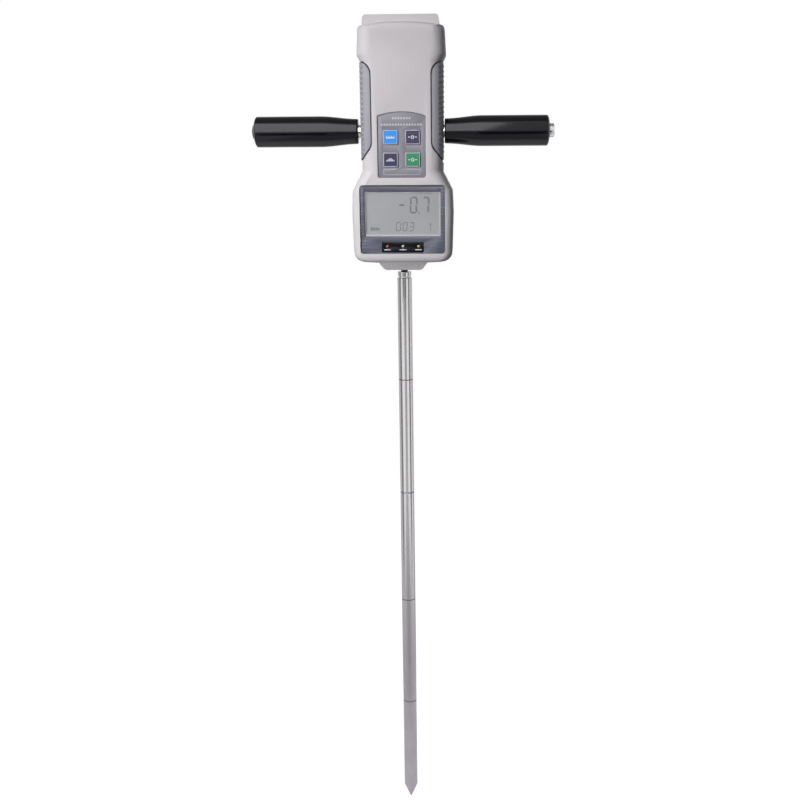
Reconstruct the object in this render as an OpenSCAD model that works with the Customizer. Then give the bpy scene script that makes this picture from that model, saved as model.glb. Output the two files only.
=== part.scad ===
// Soil penetrometer: a hand-held force gauge with a T-handle, pushed down on a two-piece probe rod.
// The origin is the point of the cone, +Z runs up the probe, and the display faces -Y.

/* [Probe] */
// Diameter of the probe rod
probe_d = 12; // [11.5:0.1:14]
// Distance between the depth marks
mark_pitch = 100; // [80:1:120]
// Length of the upper rod above the joint between the rods
upper_rod_len = 186; // [160:1:220]
// Full angle of the cone
cone_angle = 45; // [30:1:60]
// Diameter of the flat on the cone's point
tip_flat_d = 1.5; // [0.5:0.1:2.5]
// Width of a depth mark
mark_w = 0.8; // [0.4:0.1:1.6]
// Depth of a depth mark
mark_depth = 0.25; // [0.1:0.05:0.4]
// Chamfer on the ends of the rods
rod_chamfer = 0.5; // [0.2:0.1:0.8]
// Diameter of the collar on top of the rod
collar_d = 11.2; // [10.8:0.1:11.6]
// Height of the collar
collar_h = 3.4; // [2:0.1:6]
// Diameter of the undercut between the rod and its collar
undercut_d = 10; // [8:0.1:10.4]
// Height of the undercut
undercut_h = 1.2; // [0.8:0.1:2]
// Diameter of the threaded stud that joins the rods
joint_stud_d = 8; // [6:0.1:8.6]
// Depth of that stud in each rod
joint_stud_depth = 14; // [10:1:20]
// Diameter of the cone's threaded spigot
spigot_d = 6; // [5:0.1:7]
// Length of the cone's spigot
spigot_len = 10; // [8:0.5:14]

/* [Case] */
// Depth of the case from front to back
case_depth = 40; // [38:0.5:44]
// Thickness of the case walls
wall = 2.5; // [2:0.1:2.8]
// Width of the display head at its widest
head_w = 81.2; // [80:0.1:90]
// Distance by which each side of the head runs in towards its foot
head_foot_taper = 1.2; // [0.4:0.1:1.9]
// Distance by which each side of the head runs in towards its flare
head_top_taper = 0.8; // [0.4:0.1:1.4]
// Height of the display head, from its lower edge to the waist
head_h = 72.5; // [71.5:0.1:73.5]
// Height of the flare between the head and the waist
flare_h = 15.5; // [14:0.1:17]
// Thickness of the head's front wall
head_face_t = 3.5; // [3.2:0.1:3.8]
// Radius of the head's long edges
head_edge_r = 7.5; // [6:0.1:8]
// Radius of the head's lower corners
head_foot_r = 8; // [6:0.1:10]
// Rise of the head's lower edge from the boss to its sides
head_foot_rise = 1.6; // [0.8:0.1:2]
// Radius of the head's lower front and rear edges
foot_edge_r = 5.5; // [4:0.1:6]
// Width of the waist below the side pads
waist_w = 63.8; // [63.4:0.1:65]
// Distance by which each shoulder stands out beside the waist
shoulder_proud = 2.8; // [2.2:0.1:3.5]
// Distance by which each shoulder runs in towards its top
shoulder_taper = 1.1; // [0.6:0.1:2]
// Height of the shoulders
shoulder_h = 27.6; // [26:0.1:28.5]
// Height of the case from the head's lower edge to the shoulders' top
body_h = 182.6; // [182:0.1:192]
// Radius of the body's long edges
body_edge_r = 11; // [10.6:0.1:12]
// Radius of the shoulders' upper front and rear edges
top_edge_r = 3.5; // [2.5:0.1:4.5]
// Width of the step beside the block on top
top_step = 3.5; // [2.9:0.1:4.9]
// Distance by which each side of the block runs in towards its end
top_taper = 1.2; // [0.4:0.1:2.4]
// Height of the block above the shoulders
top_h = 7.2; // [6:0.1:14]
// Distance of the block's face behind the front of the case
top_setback = 5; // [3:0.1:8]
// Width of the shoulder beside the arch that ends the front face
top_arch_side = 4.9; // [4.4:0.1:8.9]
// Rise of that arch
top_arch_rise = 2; // [1:0.1:4]
// Width of the probe boss under the head
boss_w = 38; // [34:0.1:44]
// Width of the boss at its lower end
boss_tip_w = 30; // [26:0.1:32]
// Height of the boss
boss_h = 5.6; // [5.2:0.1:8]
// Depth of the boss from front to back at the head's foot
boss_depth = 34.6; // [33:0.1:35]
// Depth of the boss at its lower end
boss_tip_depth = 27.6; // [24:0.1:30]
// Distance from the boss down to the rod's collar, where the stud shows
stud_gap = 2.8; // [1.5:0.1:5]
// Distance from the probe's axis back to the line where the shells part
parting_y = 8; // [7.5:0.1:9]

/* [Side pads] */
// Distance by which a pad stands out beside the waist
pad_proud = 0.7; // [0.5:0.1:1.2]
// Thickness of a pad
pad_t = 2.2; // [1.8:0.1:2.4]
// Distance of a pad's face behind the front of the case
pad_sink = 0.6; // [0.4:0.1:0.9]
// Width of the waist's front face beside a pad's inner edge
pad_front = 8.8; // [8.4:0.1:9.7]
// Height of a pad's straight inner edge above the waist's lower end
pad_low_rise = 19; // [15.5:0.1:23.5]
// Distance of that edge's upper end below the shoulders
pad_high_drop = 1.9; // [0:0.1:5]
// Height of a pad's outer lower end above the waist's lower end
pad_foot_rise = 6.9; // [6.8:0.1:9.5]
// Distance by which a pad's outer upper end reaches up into the shoulders
pad_top_rise = 1.5; // [1:0.1:3.5]
// Radius at the ends of a pad's inner edge
pad_turn_r = 10; // [6:0.1:12]
// Width of the groove around a pad
pad_groove_w = 0.9; // [0.5:0.1:1.2]
// Depth of that groove
pad_groove_depth = 0.8; // [0.4:0.1:1]
// Distance between the ribs of a pad
rib_pitch = 3.85; // [3:0.05:6]
// Height of a rib above the pad
rib_rise = 0.45; // [0.2:0.05:0.7]
// Radius of a rib
rib_r = 0.9; // [0.8:0.05:1.2]
// Length of a rib across the pad
rib_len = 15; // [10:0.5:16]

/* [Display] */
// Width of the head beside the bezel around the display
bezel_side = 6.8; // [6.6:0.1:8.9]
// Distance of the bezel below the waist
bezel_drop = 10.5; // [9.4:0.1:12.4]
// Height of the bezel above the head's lower edge
bezel_low = 8.1; // [7.5:0.1:9]
// Thickness of the bezel
bezel_t = 1.5; // [1.5:0.1:1.7]
// Distance of the bezel behind the front face
bezel_sink = 1.2; // [0.6:0.1:1.3]
// Radius of the bezel's corners
bezel_r = 2.6; // [2:0.1:5]
// Width of the bezel beside the visible display
view_side = 3.4; // [3.2:0.1:5.6]
// Height of the bezel above the visible display
view_top = 5.1; // [4:0.1:7]
// Height of the visible display above the bezel's lower edge
view_low = 13.8; // [12.5:0.1:14.5]
// Thickness of the clear window
window_t = 1.4; // [1:0.1:1.6]
// Width of the ledge under the window
window_ledge = 1.2; // [0.8:0.1:1.8]
// Distance by which the display panel runs on behind the bezel at each side
lcd_lap_x = 0.6; // [0.4:0.1:0.8]
// Distance by which the display panel runs on behind the bezel above and below
lcd_lap_z = 2.5; // [1.5:0.1:2.8]
// Thickness of the display panel
lcd_t = 2.8; // [2:0.1:3]
// Height of the frame that carries the display panel
holder_t = 4.2; // [4:0.1:4.6]
// Width of that frame's bars
holder_bar = 4; // [3:0.1:6]
// Width of the black strip around the lamps
strip_w = 33.4; // [31:0.1:36]
// Height of the black strip
strip_h = 8.2; // [7:0.1:9]
// Thickness of the black strip
strip_t = 0.6; // [0.5:0.05:0.8]
// Height of the strip above the bezel's lower edge
strip_low = 0.9; // [0.6:0.1:2]
// Diameter of a lamp
lamp_d = 2.9; // [2:0.1:3]
// Distance between the lamps
lamp_pitch = 12.5; // [10:0.1:13]
// Height of the lamps above the strip's lower edge
lamp_high = 4.9; // [3:0.1:5.2]

/* [Keypad] */
// Width of the keypad
keypad_w = 37.8; // [36.4:0.1:40]
// Height of the keypad at its sides
keypad_h = 47.1; // [45:0.1:50]
// Rise of the arch at the keypad's top
keypad_arch = 3.2; // [1:0.1:5]
// Gap between the bezel and the keypad
keypad_gap = 5.7; // [4:0.1:7]
// Thickness of the keypad's plate
keypad_t = 1.2; // [1:0.1:1.4]
// Distance of the plate behind the front face
keypad_sink = 1.2; // [0.5:0.05:1.4]
// Radius of the keypad's lower corners
keypad_r = 2; // [1:0.1:4]
// Width of the ledge under the plate
keypad_ledge = 2.2; // [1.8:0.1:2.6]
// Width of a key
key_w = 11.5; // [10:0.1:12.2]
// Height of a key
key_h = 11; // [10:0.1:11.6]
// Distance between the columns of keys
key_pitch_x = 17.4; // [16:0.1:18]
// Distance between the rows of keys
key_pitch_z = 17.2; // [15:0.1:18]
// Height of the lower row above the keypad's lower edge
key_low = 13.8; // [12:0.1:16]
// Travel of a key
key_travel = 0.5; // [0.3:0.05:0.6]
// Width by which a key's flange stands out under the plate
key_flange = 0.8; // [0.5:0.05:1]

/* [Handles] */
// Height of the handles' axis above the head's lower edge
handle_high = 103.3; // [100:0.1:106]
// Gap between the left pad and its handle
left_gap = 2.6; // [1.5:0.1:3.1]
// Gap between the right pad and its handle
right_gap = 0.9; // [0.9:0.1:2.6]
// Length of a handle
handle_len = 83; // [70:0.5:110]
// Diameter of a handle along its outer half
handle_d = 24; // [20:0.1:30]
// Diameter of a handle at its inner end
handle_neck_d = 19.6; // [16:0.1:22]
// Height of a handle's rounded end
handle_dome = 2.4; // [1:0.1:4]
// Diameter of the spindle that a handle turns on
spindle_d = 8; // [6:0.1:9]
// Diameter of the spindle's shoulder
spindle_shoulder_d = 10.4; // [9.6:0.1:11]
// Distance between the spindle's inner end and the screw of the stand plate
spindle_gap = 2.1; // [1.6:0.1:7.1]
// Diameter of the cap at the right handle's end
cap_d = 11.2; // [9:0.1:14]
// Thickness of that cap
cap_t = 3.8; // [3.8:0.1:4.6]
// Diameter of the domed plug at the left handle's end
plug_d = 12.4; // [11:0.1:14]
// Diameter of the spindle's end inside the cap or the plug
cap_thread_d = 6; // [4:0.1:6.5]

/* [Load path] */
// Width and depth of the cross beam
beam_h = 14; // [13.2:0.1:14.6]
// Gap between the load cell and the wall of the waist
cell_side = 4; // [3.8:0.1:7]
// Height of the load cell
cell_h = 60; // [56:0.1:62]
// Thickness of the load cell
cell_t = 12; // [10:0.1:12.6]
// Width of the load cell's slots
cell_slot = 3; // [2:0.1:4]
// Width of the web beside each slot
cell_web = 11; // [8:0.1:14]
// Diameter of the two bores in the load cell's middle
cell_bore_d = 16; // [12:0.1:18]
// Thickness of the spacer between the load cell and the beam
spacer_t = 2.3; // [1.5:0.1:4]
// Diameter of that spacer
spacer_d = 14; // [12.5:0.1:14.4]
// Diameter of the bolt through the beam
bolt_d = 8; // [6:0.1:8.4]
// Diameter of the stud that carries the probe
stud_d = 6; // [5:0.1:6.4]
// Depth of the stud in the rod
stud_depth = 11.5; // [8:0.5:16]
// Depth of each thread in the load cell
cell_thread = 9.5; // [7:0.1:10.5]
// Diameter of the seal around the stud
seal_d = 9.8; // [8:0.1:11]
// Height of the seal
seal_h = 4; // [2.5:0.1:5]

/* [Electronics] */
// Thickness of the circuit board
board_t = 1.6; // [1:0.1:2]
// Distance of the board's edge inside the display panel's edge
board_inset = 0.1; // [0:0.1:1.5]
// Gap between the board and the wall of the waist
board_side = 3; // [1:0.1:5]
// Height of the board's lower edge above the head's lower edge
board_low = 4.9; // [4.6:0.1:5.5]
// Height of the board's upper edge above the handles' axis
board_rise = 20.7; // [19.7:0.1:21.7]
// Gap between the battery cells and the wall in front of and behind them
battery_room = 0.3; // [0.2:0.1:1]
// Gap between the battery cells and the wall above them
battery_headroom = 3.1; // [3:0.1:9]
// Thickness of the battery tray's walls
tray_t = 1; // [0.8:0.1:1.2]
// Gap between the board and the battery tray
tray_gap = 1.8; // [1.2:0.1:2.5]
// Diameter of the charging socket
socket_d = 7.2; // [6.8:0.1:7.4]
// Length of the charging socket
socket_len = 8; // [6:0.1:8.4]
// Diameter of the socket's opening
socket_bore_d = 5.5; // [4.5:0.1:5.7]
// Height of the socket above the waist's lower end
socket_rise = 2.8; // [2.5:0.1:3]
// Diameter of the buzzer
buzzer_d = 9; // [7:0.1:9.6]
// Height of the buzzer
buzzer_h = 4; // [2:0.1:5]

/* [Stand plate] */
// Width of the stand plate
plate_w = 44; // [42:0.1:46]
// Height of the stand plate
plate_h = 54; // [50:0.1:58]
// Thickness of the stand plate
plate_t = 3; // [2.6:0.1:3.2]
// Distance of the plate's middle below the handles' axis
plate_drop = 12.3; // [9.3:0.1:15.3]
// Distance between the plate's threaded holes across the case
plate_pitch_x = 32; // [30:0.1:34]
// Distance between the plate's threaded holes along the case
plate_pitch_z = 40; // [38:0.1:44]
// Diameter of the plate's threaded holes
plate_hole_d = 4.2; // [3.2:0.1:5]

/* [Hidden] */
$fn = 64;

// Steps of a rounded corner and of an arch
arc_steps = 6;
// Number of pitches from the point up to the joint between the rods
joint_marks = 3;
// Largest share of a side that the rounding of a corner takes
fillet_share = 0.75;
// Overrun of every cut
over = 1;
// Distance by which a boss runs into the wall that carries it
weld = 0.5;
// Clearance around a screw or a thread in its hole
thread_fit = 0.05;
// Clearance around a screw in a plain hole
screw_room = 0.2;
// Clearance around a piece that is glued or clipped into a pocket
seat_fit = 0.1;
// Clearance around a handle on its spindle
handle_fit = 0.06;
// End play of a handle on its spindle
handle_play = 0.2;
// Clearance between the beam's ends and the case
beam_room = 0.3;
// Clearance around the spindle's shoulder in the case
shoulder_room = 0.2;
// Clearance around the stud in its seal
seal_room = 0.15;
// Clearance around the stud in the boss
stud_room = 0.6;

// Heights, from the point of the cone upwards
cone_len = (probe_d - tip_flat_d) / 2 / tan(cone_angle / 2);
joint_z = joint_marks * mark_pitch;
rod_top_z = joint_z + upper_rod_len;
collar_z = rod_top_z + undercut_h;
collar_top_z = collar_z + collar_h;
boss_z = collar_top_z + stud_gap;
head_z = boss_z + boss_h;
waist_z = head_z + head_h;
flare_z = waist_z - flare_h;
body_top_z = head_z + body_h;
top_z = body_top_z + top_h;
handle_z = head_z + handle_high;

// Widths of the case, from the head upwards
head_foot_w = head_w - 2 * head_foot_taper;
head_top_w = head_w - 2 * head_top_taper;
pad_w = waist_w + 2 * pad_proud;
pad_front_w = waist_w - 2 * pad_front;
shoulder_w = waist_w + 2 * shoulder_proud;
shoulder_top_w = shoulder_w - 2 * shoulder_taper;
top_w = shoulder_top_w - 2 * top_step;
top_tip_w = top_w - 2 * top_taper;
top_arch_w = shoulder_top_w - 2 * top_arch_side;

// Heights of the pads above the head's lower edge
pad_low_h = head_h + pad_low_rise;
pad_foot_h = head_h + pad_foot_rise;
pad_high_h = body_h - shoulder_h - pad_high_drop;
pad_top_h = body_h - shoulder_h + pad_top_rise;

// Depths, from the front backwards
face_y = -case_depth / 2;
back_y = case_depth / 2;
head_inner_y = face_y + head_face_t;
bezel_y = face_y + bezel_sink;
bezel_seat_y = bezel_y + bezel_t;
lcd_y = head_inner_y + seat_fit;
lcd_back_y = lcd_y + lcd_t;
board_y = lcd_back_y + holder_t;
board_back_y = board_y + board_t;
keypad_y = face_y + keypad_sink;
keypad_seat_y = keypad_y + keypad_t;

// Widest height and side radii of the display head
head_belly_h = 40;
head_belly_r = 80;
flare_r = 5;
waist_r = 6;

// Edges of the shoulders, the top block and the boss
shoulder_lip = 5.5;
shoulder_lip_r = 4;
shoulder_foot_r = 1.5;
shoulder_top_r = 3.5;
top_tip_r = 2.2;
boss_tip_r = 4.5;
boss_root = 2.4;

// Cross sections of the pads, of the core under them and of the cavity in the core
pad_edge_r = 10.5;
core_x = pad_w / 2 - pad_t;
core_y = back_y - pad_sink - pad_t;
core_r = pad_edge_r - pad_t;
hollow_x = core_x - wall;
hollow_y = core_y - wall;
hollow_r = core_r - wall;
hollow_top_z = body_top_z - wall;
hollow_foot_z = head_z + head_foot_rise + wall;
arch_foot_z = hollow_top_z - top_edge_r;

// Bezel, visible display and display panel
bezel_z = head_z + bezel_low;
bezel_w = head_w - 2 * bezel_side;
bezel_h = head_h - bezel_low - bezel_drop;
view_z = bezel_z + view_low;
view_w = bezel_w - 2 * view_side;
view_h = bezel_h - view_low - view_top;
lcd_w = view_w + 2 * lcd_lap_x;
lcd_h = view_h + 2 * lcd_lap_z;
lcd_z = view_z + view_h / 2 - lcd_h / 2;
lcd_room = 1;
strip_z = bezel_z + strip_low;
strip_sunk = 0.5;
strip_r = 0.8;
window_r = 0.6;
lamp_z = strip_z + lamp_high;
lamp_room = 0.15;
lamp_base_d = 3.8;
lamp_base_y = head_inner_y + lamp_d / 2;
lamp_tip_y = bezel_y + strip_t / 2;

// Keypad, keys and switches
keypad_z = bezel_z + bezel_h + keypad_gap;
keypad_outer_w = keypad_w - 2 * keypad_ledge;
key_gap = 0.15;
key_r = 0.8;
key_flange_t = 0.85;
key_stem = 4;
key_columns = [-key_pitch_x / 2, key_pitch_x / 2];
key_rows = [keypad_z + key_low, keypad_z + key_low + key_pitch_z];
key_flange_y = keypad_seat_y + key_gap;
switch_w = 6;
switch_h = 3.4;
plunger_d = 3.5;
plunger_h = 0.5;
press_gap = 0.1;
plunger_y = board_y - switch_h - plunger_h;

// Screws of the case, with the places of the lower, middle and upper pairs
case_screw_d = 3;
case_screw_head_d = 5.6;
case_screw_head_h = 2.4;
case_screw_sink = 0.8;
case_screw_bite = 9;
case_boss_d = 6.4;
rear_boss_d = 7.2;
case_screw_seat_y = back_y - case_screw_sink - case_screw_head_h;
case_screw_edge = 6;
case_screw_low = 13;
case_screw_mid = 21.5;
case_screw_top = 5.6;
head_screw_x = head_w / 2 - case_screw_edge;
shoulder_screw_x = hollow_x - case_boss_d / 2 + weld;
case_screw_places = [
  for (side = [-1, 1]) each [
    [side * head_screw_x, head_z + case_screw_low, head_inner_y],
    [side * head_screw_x, waist_z - case_screw_mid, head_inner_y],
    [side * shoulder_screw_x, body_top_z - case_screw_top, -hollow_y]
  ]
];

// Screws of the board, with the places of their pillars
board_screw_d = 2.4;
board_screw_head_d = 4.4;
board_screw_head_h = 1.5;
board_screw_len = 4.6;
board_pillar_d = 6;
board_screw_edge = 4;
board_w = lcd_w - 2 * board_inset;
board_neck_w = 2 * (hollow_x - board_side);
board_high = handle_high + board_rise;
board_neck_z = lcd_z + lcd_h + lcd_room;
board_screw_places = [
  for (side = [-1, 1]) each [
    [side * (board_w / 2 - board_screw_edge), head_z + board_low + board_screw_edge, head_inner_y],
    [side * (board_neck_w / 2 - board_screw_edge), head_z + board_high - board_screw_edge, -hollow_y]
  ]
];

// Lead from the load cell to the board
lead_d = 2.6;
lead_bend_r = 3;
lead_start = 1.2;
lead_room = 0.8;
lead_drop = 3.6;
lead_z = board_neck_z - lead_drop;
lead_reach = lead_start + lead_bend_r + lead_d / 2;

// Beam, load cell, bolt and stud
beam_x = hollow_x - beam_room;
beam_z = handle_z - beam_h / 2;
cell_waist_x = hollow_x - cell_side;
cell_head_x = head_screw_x - case_boss_d / 2 - lead_room - lead_reach;
cell_w = 2 * min(cell_waist_x, cell_head_x);
cell_z = beam_z - spacer_t - cell_h;
cell_slot_share = 0.24;
cell_bore_share = 0.14;
cell_thread_room = 0.5;
bolt_head_af = 13;
bolt_head_h = 5.3;
nut_af = 10;
nut_h = 5;
hex_sides = 6;

// Battery: columns across the case and layers through its depth
battery_columns = 3;
battery_gap = 0.2;
battery_d = hollow_y - battery_room - battery_gap;
battery_pitch = battery_d + battery_gap;
tray_z = head_z + board_high + tray_gap;
battery_z = tray_z + tray_t + battery_gap;
battery_len = hollow_top_z - battery_headroom - battery_z;
tray_x = battery_columns * battery_pitch / 2;
tray_rim_share = 0.76;
tray_room = 0.2;

// Charging socket
socket_proud = 0.6;
socket_z = waist_z + socket_rise;
socket_x = waist_w / 2 + socket_proud - socket_len;
socket_floor = 1.2;
socket_pin_d = 1.7;
socket_pin_short = 1;

// Buzzer between the display and the keys
buzzer_low = 8.5;
buzzer_z = lcd_z + lcd_h + buzzer_low;

// Stand plate and its screws
plate_z = handle_z - plate_drop;
plate_y = back_y - plate_t;
plate_r = 4;
plate_room_d = 6.4;
plate_screw_d = 4;
plate_screw_head_d = 7.4;
plate_screw_head_h = 2;
plate_screw_x = 7.6;
plate_screw_bite = 6;
plate_pillar_d = 8;
spindle_depth = beam_x - plate_screw_x - plate_screw_d / 2 - spindle_gap;

// Handle, spindle and cap along +X, with the left ones mirrored; both ends reach equally far out
left_x = pad_w / 2 + left_gap;
right_x = pad_w / 2 + right_gap;
left_end_x = left_x + handle_len + handle_play;
right_end_x = right_x + handle_len + handle_play;
plug_t = right_end_x + cap_t - left_end_x;
cap_depth_share = 0.55;
cap_chamfer = 0.6;
handle_face_d = 12.6;
handle_edge_r = 1.2;
handle_swell_shares = [0.05, 0.62];
handle_steps = 12;

function unit(v) = v / norm(v);

function turn(a) = a > 180 ? a - 360 : (a < -180 ? a + 360 : a);

// Corner b of an outline, rounded by its radius b[2] between the neighbours a and c
function corner_arc(a, b, c) =
  b[2] == 0 ? [[b[0], b[1]]] :
  let (
    p = [b[0], b[1]],
    to_a = [a[0], a[1]] - p,
    to_c = [c[0], c[1]] - p,
    u = unit(to_a),
    v = unit(to_c),
    half = acos(u * v) / 2,
    room = fillet_share * min(norm(to_a), norm(to_c)),
    r = min(b[2], room * tan(half)),
    middle = p + unit(u + v) * r / sin(half),
    first = p + u * r / tan(half) - middle,
    last = p + v * r / tan(half) - middle,
    start = atan2(first[1], first[0]),
    step = turn(atan2(last[1], last[0]) - start) / arc_steps
  )
  [for (k = [0 : arc_steps]) middle + r * [cos(start + step * k), sin(start + step * k)]];

// Outline with each corner [x, z, radius] rounded
function rounded(corners) =
  let (n = len(corners))
  [for (i = [0 : n - 1]) each corner_arc(corners[(i + n - 1) % n], corners[i], corners[(i + 1) % n])];

function mirrored(corners) = [
  for (i = [len(corners) - 1 : -1 : 0]) [-corners[i][0], corners[i][1], corners[i][2]]
];

// Shallow arch of width w over height z, from right to left
function arch(w, z, rise) =
  let (
    r = (w * w / 4 + rise * rise) / (2 * rise),
    step = asin(w / 2 / r) / arc_steps
  )
  [for (k = [-arc_steps : arc_steps]) [-r * sin(step * k), z + rise - r + r * cos(step * k), 0]];

function box_corners(w, low, high, r) = [
  [-w / 2, low, r], [w / 2, low, r], [w / 2, high, r], [-w / 2, high, r]
];

// Upright outline in X and Z, made thick from y0 to y1
module slab(corners, y0, y1) {
  translate([0, y1, 0]) rotate([90, 0, 0]) linear_extrude(y1 - y0) polygon(rounded(corners));
}

// Upright bar from z0 to z1 with a rounded cross section
module bar(half_w, y0, y1, r, z0, z1) {
  translate([0, 0, z0]) linear_extrude(z1 - z0) {
    translate([-half_w, y0 + r]) square([2 * half_w, y1 - y0 - 2 * r]);
    translate([-half_w + r, y0]) square([2 * (half_w - r), y1 - y0]);
    for (x = [-half_w + r, half_w - r], y = [y0 + r, y1 - r]) translate([x, y]) circle(r);
  }
}

module pin_x(x0, x1, d) {
  translate([x0, 0, 0]) rotate([0, 90, 0]) cylinder(h = x1 - x0, d = d);
}

module pin_y(y0, y1, d) {
  translate([0, y0, 0]) rotate([-90, 0, 0]) cylinder(h = y1 - y0, d = d);
}

module pin_z(z0, z1, d) {
  translate([0, 0, z0]) cylinder(h = z1 - z0, d = d);
}

module hexagon_z(z0, z1, across) {
  translate([0, 0, z0]) cylinder(h = z1 - z0, d = across / cos(180 / hex_sides), $fn = hex_sides);
}

// Outline of corners [radius, height, rounding], turned about the Z axis
module turned(corners) {
  rotate_extrude() polygon(rounded(corners));
}

// Solid through rings of points that lie one above the other
module loft(rings) {
  n = len(rings[0]);
  last = len(rings) - 1;
  points = [for (ring = rings) each ring];
  sides = [
    for (i = [0 : last - 1], j = [0 : n - 1])
      let (a = i * n + j, b = i * n + (j + 1) % n) each [[a, a + n, b], [b, a + n, b + n]]
  ];
  floor_face = [for (j = [0 : n - 1]) j];
  roof_face = [for (j = [n - 1 : -1 : 0]) last * n + j];
  polyhedron(points, concat(sides, [floor_face, roof_face]));
}

// Case: outside shape, cavity and the places where pieces go in
case_side = [
  [0, head_z, 0],
  [boss_tip_w / 2, head_z, 0],
  [head_foot_w / 2, head_z + head_foot_rise, head_foot_r],
  [head_w / 2, head_z + head_belly_h, head_belly_r],
  [head_top_w / 2, flare_z, flare_r],
  [waist_w / 2, waist_z, waist_r],
  [waist_w / 2, body_top_z - shoulder_h, shoulder_foot_r],
  [shoulder_w / 2, body_top_z - shoulder_h + shoulder_lip, shoulder_lip_r],
  [shoulder_top_w / 2, body_top_z, shoulder_top_r],
  [0, body_top_z, 0]
];
case_profile = rounded(case_side);
top_side = [[top_w / 2, hollow_top_z, 0], [top_tip_w / 2, top_z, top_tip_r]];
boss_side = [
  [boss_tip_w / 2, boss_z, boss_tip_r],
  [boss_w / 2, head_z, 0],
  [boss_w / 2, head_z + boss_root, 0]
];
hollow_side = [
  [head_foot_w / 2 - wall, hollow_foot_z, head_foot_r - wall],
  [head_w / 2 - wall, head_z + head_belly_h, head_belly_r],
  [head_top_w / 2 - wall, flare_z - wall, 0],
  [lcd_w / 2 + lcd_room, lcd_z + lcd_h + lcd_room, 0]
];

// Half the boss's depth at a height, and its outline seen from the side
function boss_reach(z) = (boss_tip_depth + (boss_depth - boss_tip_depth) * (z - boss_z) / boss_h) / 2;
boss_slope = [for (z = [boss_z - over, head_z + boss_root + over]) [boss_reach(z), z, 0]];

// Distance by which an edge of radius r runs in at a depth below its end
function edge_in(depth, r) =
  let (rest = r - min(r, max(0, depth)))
  r - sqrt(r * r - rest * rest);

// Level section of the case where its outline has the point [half width, height]
function case_ring(p) =
  let (
    blend = max(0, min(1, (p[1] - flare_z) / flare_h)),
    r = head_edge_r + (body_edge_r - head_edge_r) * blend,
    half_y = back_y - edge_in(p[1] - head_z, foot_edge_r) - edge_in(body_top_z - p[1], top_edge_r),
    corners = [[p[0], -half_y, r], [p[0], half_y, r], [-p[0], half_y, r], [-p[0], -half_y, r]]
  )
  [for (q = rounded(corners)) [q[0], q[1], p[1]]];

// Upright section of the arch at a distance y, where its edge has dropped
function arch_ring(y, drop) =
  let (curve = arch(top_arch_w, body_top_z - weld - drop, top_arch_rise + weld))
  [for (p = concat([[-top_arch_w / 2, arch_foot_z], [top_arch_w / 2, arch_foot_z]], curve)) [p[0], y, p[1]]];

module top_arch() {
  turns = [for (k = [0 : arc_steps]) 90 * k / arc_steps];
  edge = [for (a = turns) top_edge_r * [1 - cos(a), 1 - sin(a)]];
  loft(concat(
    [for (k = [0 : arc_steps]) arch_ring(back_y - edge[k][0], edge[k][1])],
    [for (k = [arc_steps : -1 : 0]) arch_ring(face_y + edge[k][0], edge[k][1])]
  ));
}

module case_blank() {
  loft([for (i = [1 : len(case_profile) - 2]) case_ring(case_profile[i])]);
  intersection() {
    top_arch();
    bar(shoulder_top_w / 2, face_y, back_y, body_edge_r, arch_foot_z, top_z);
  }
  slab(concat(top_side, mirrored(top_side)), face_y + top_setback, back_y - top_setback);
  intersection() {
    slab(concat(boss_side, mirrored(boss_side)), face_y, back_y);
    rotate([0, 0, 90]) slab(concat(boss_slope, mirrored(boss_slope)), -boss_w, boss_w);
  }
}

module case_hollow() {
  intersection() {
    slab(concat(hollow_side, mirrored(hollow_side)), head_inner_y, back_y - wall);
    bar(head_w / 2 - wall, head_inner_y, back_y - wall, head_edge_r - wall, head_z, waist_z);
  }
  bar(hollow_x, -hollow_y, hollow_y, hollow_r, flare_z - wall, hollow_top_z);
}

// Height at the case's widest of a pad's end that is inner at its inner edge and outer at its face
function pad_end(inner, outer) = outer + (outer - inner) * (head_w - pad_w) / (pad_w - pad_front_w);

// Outline of a pad seen from the front, grown by grow
function pad_corners(grow) = [
  [pad_front_w / 2 - grow, head_z + pad_high_h + grow, pad_turn_r],
  [pad_front_w / 2 - grow, head_z + pad_low_h - grow, pad_turn_r],
  [head_w / 2, head_z + pad_end(pad_low_h, pad_foot_h) - grow, 0],
  [head_w / 2, head_z + pad_end(pad_high_h, pad_top_h) + grow, 0]
];

module pad_core(grow) {
  bar(core_x + grow, -core_y - grow, core_y + grow, core_r + grow, flare_z, body_top_z);
}

module pad_channel() {
  difference() {
    slab(pad_corners(seat_fit), face_y - over, back_y + over);
    pad_core(0);
  }
}

module case_half(y0, y1) {
  difference() {
    intersection() {
      case_blank();
      translate([-head_w / 2, y0, boss_z]) cube([head_w, y1 - y0, top_z - boss_z]);
    }
    case_hollow();
    pad_channel();
    mirror([1, 0, 0]) pad_channel();
  }
}

function bezel_corners(grow) =
  box_corners(bezel_w + 2 * grow, bezel_z - grow, bezel_z + bezel_h + grow, bezel_r + grow);

function keypad_corners(grow) = concat(
  [
    [-keypad_w / 2 - grow, keypad_z - grow, keypad_r + grow],
    [keypad_w / 2 + grow, keypad_z - grow, keypad_r + grow]
  ],
  arch(keypad_w + 2 * grow, keypad_z + keypad_h + grow, keypad_arch)
);

module at_lamps() {
  for (x = [-lamp_pitch, 0, lamp_pitch]) translate([x, 0, lamp_z]) children();
}

module at_keys() {
  for (x = key_columns, z = key_rows) translate([x, 0, z]) children();
}

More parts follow.
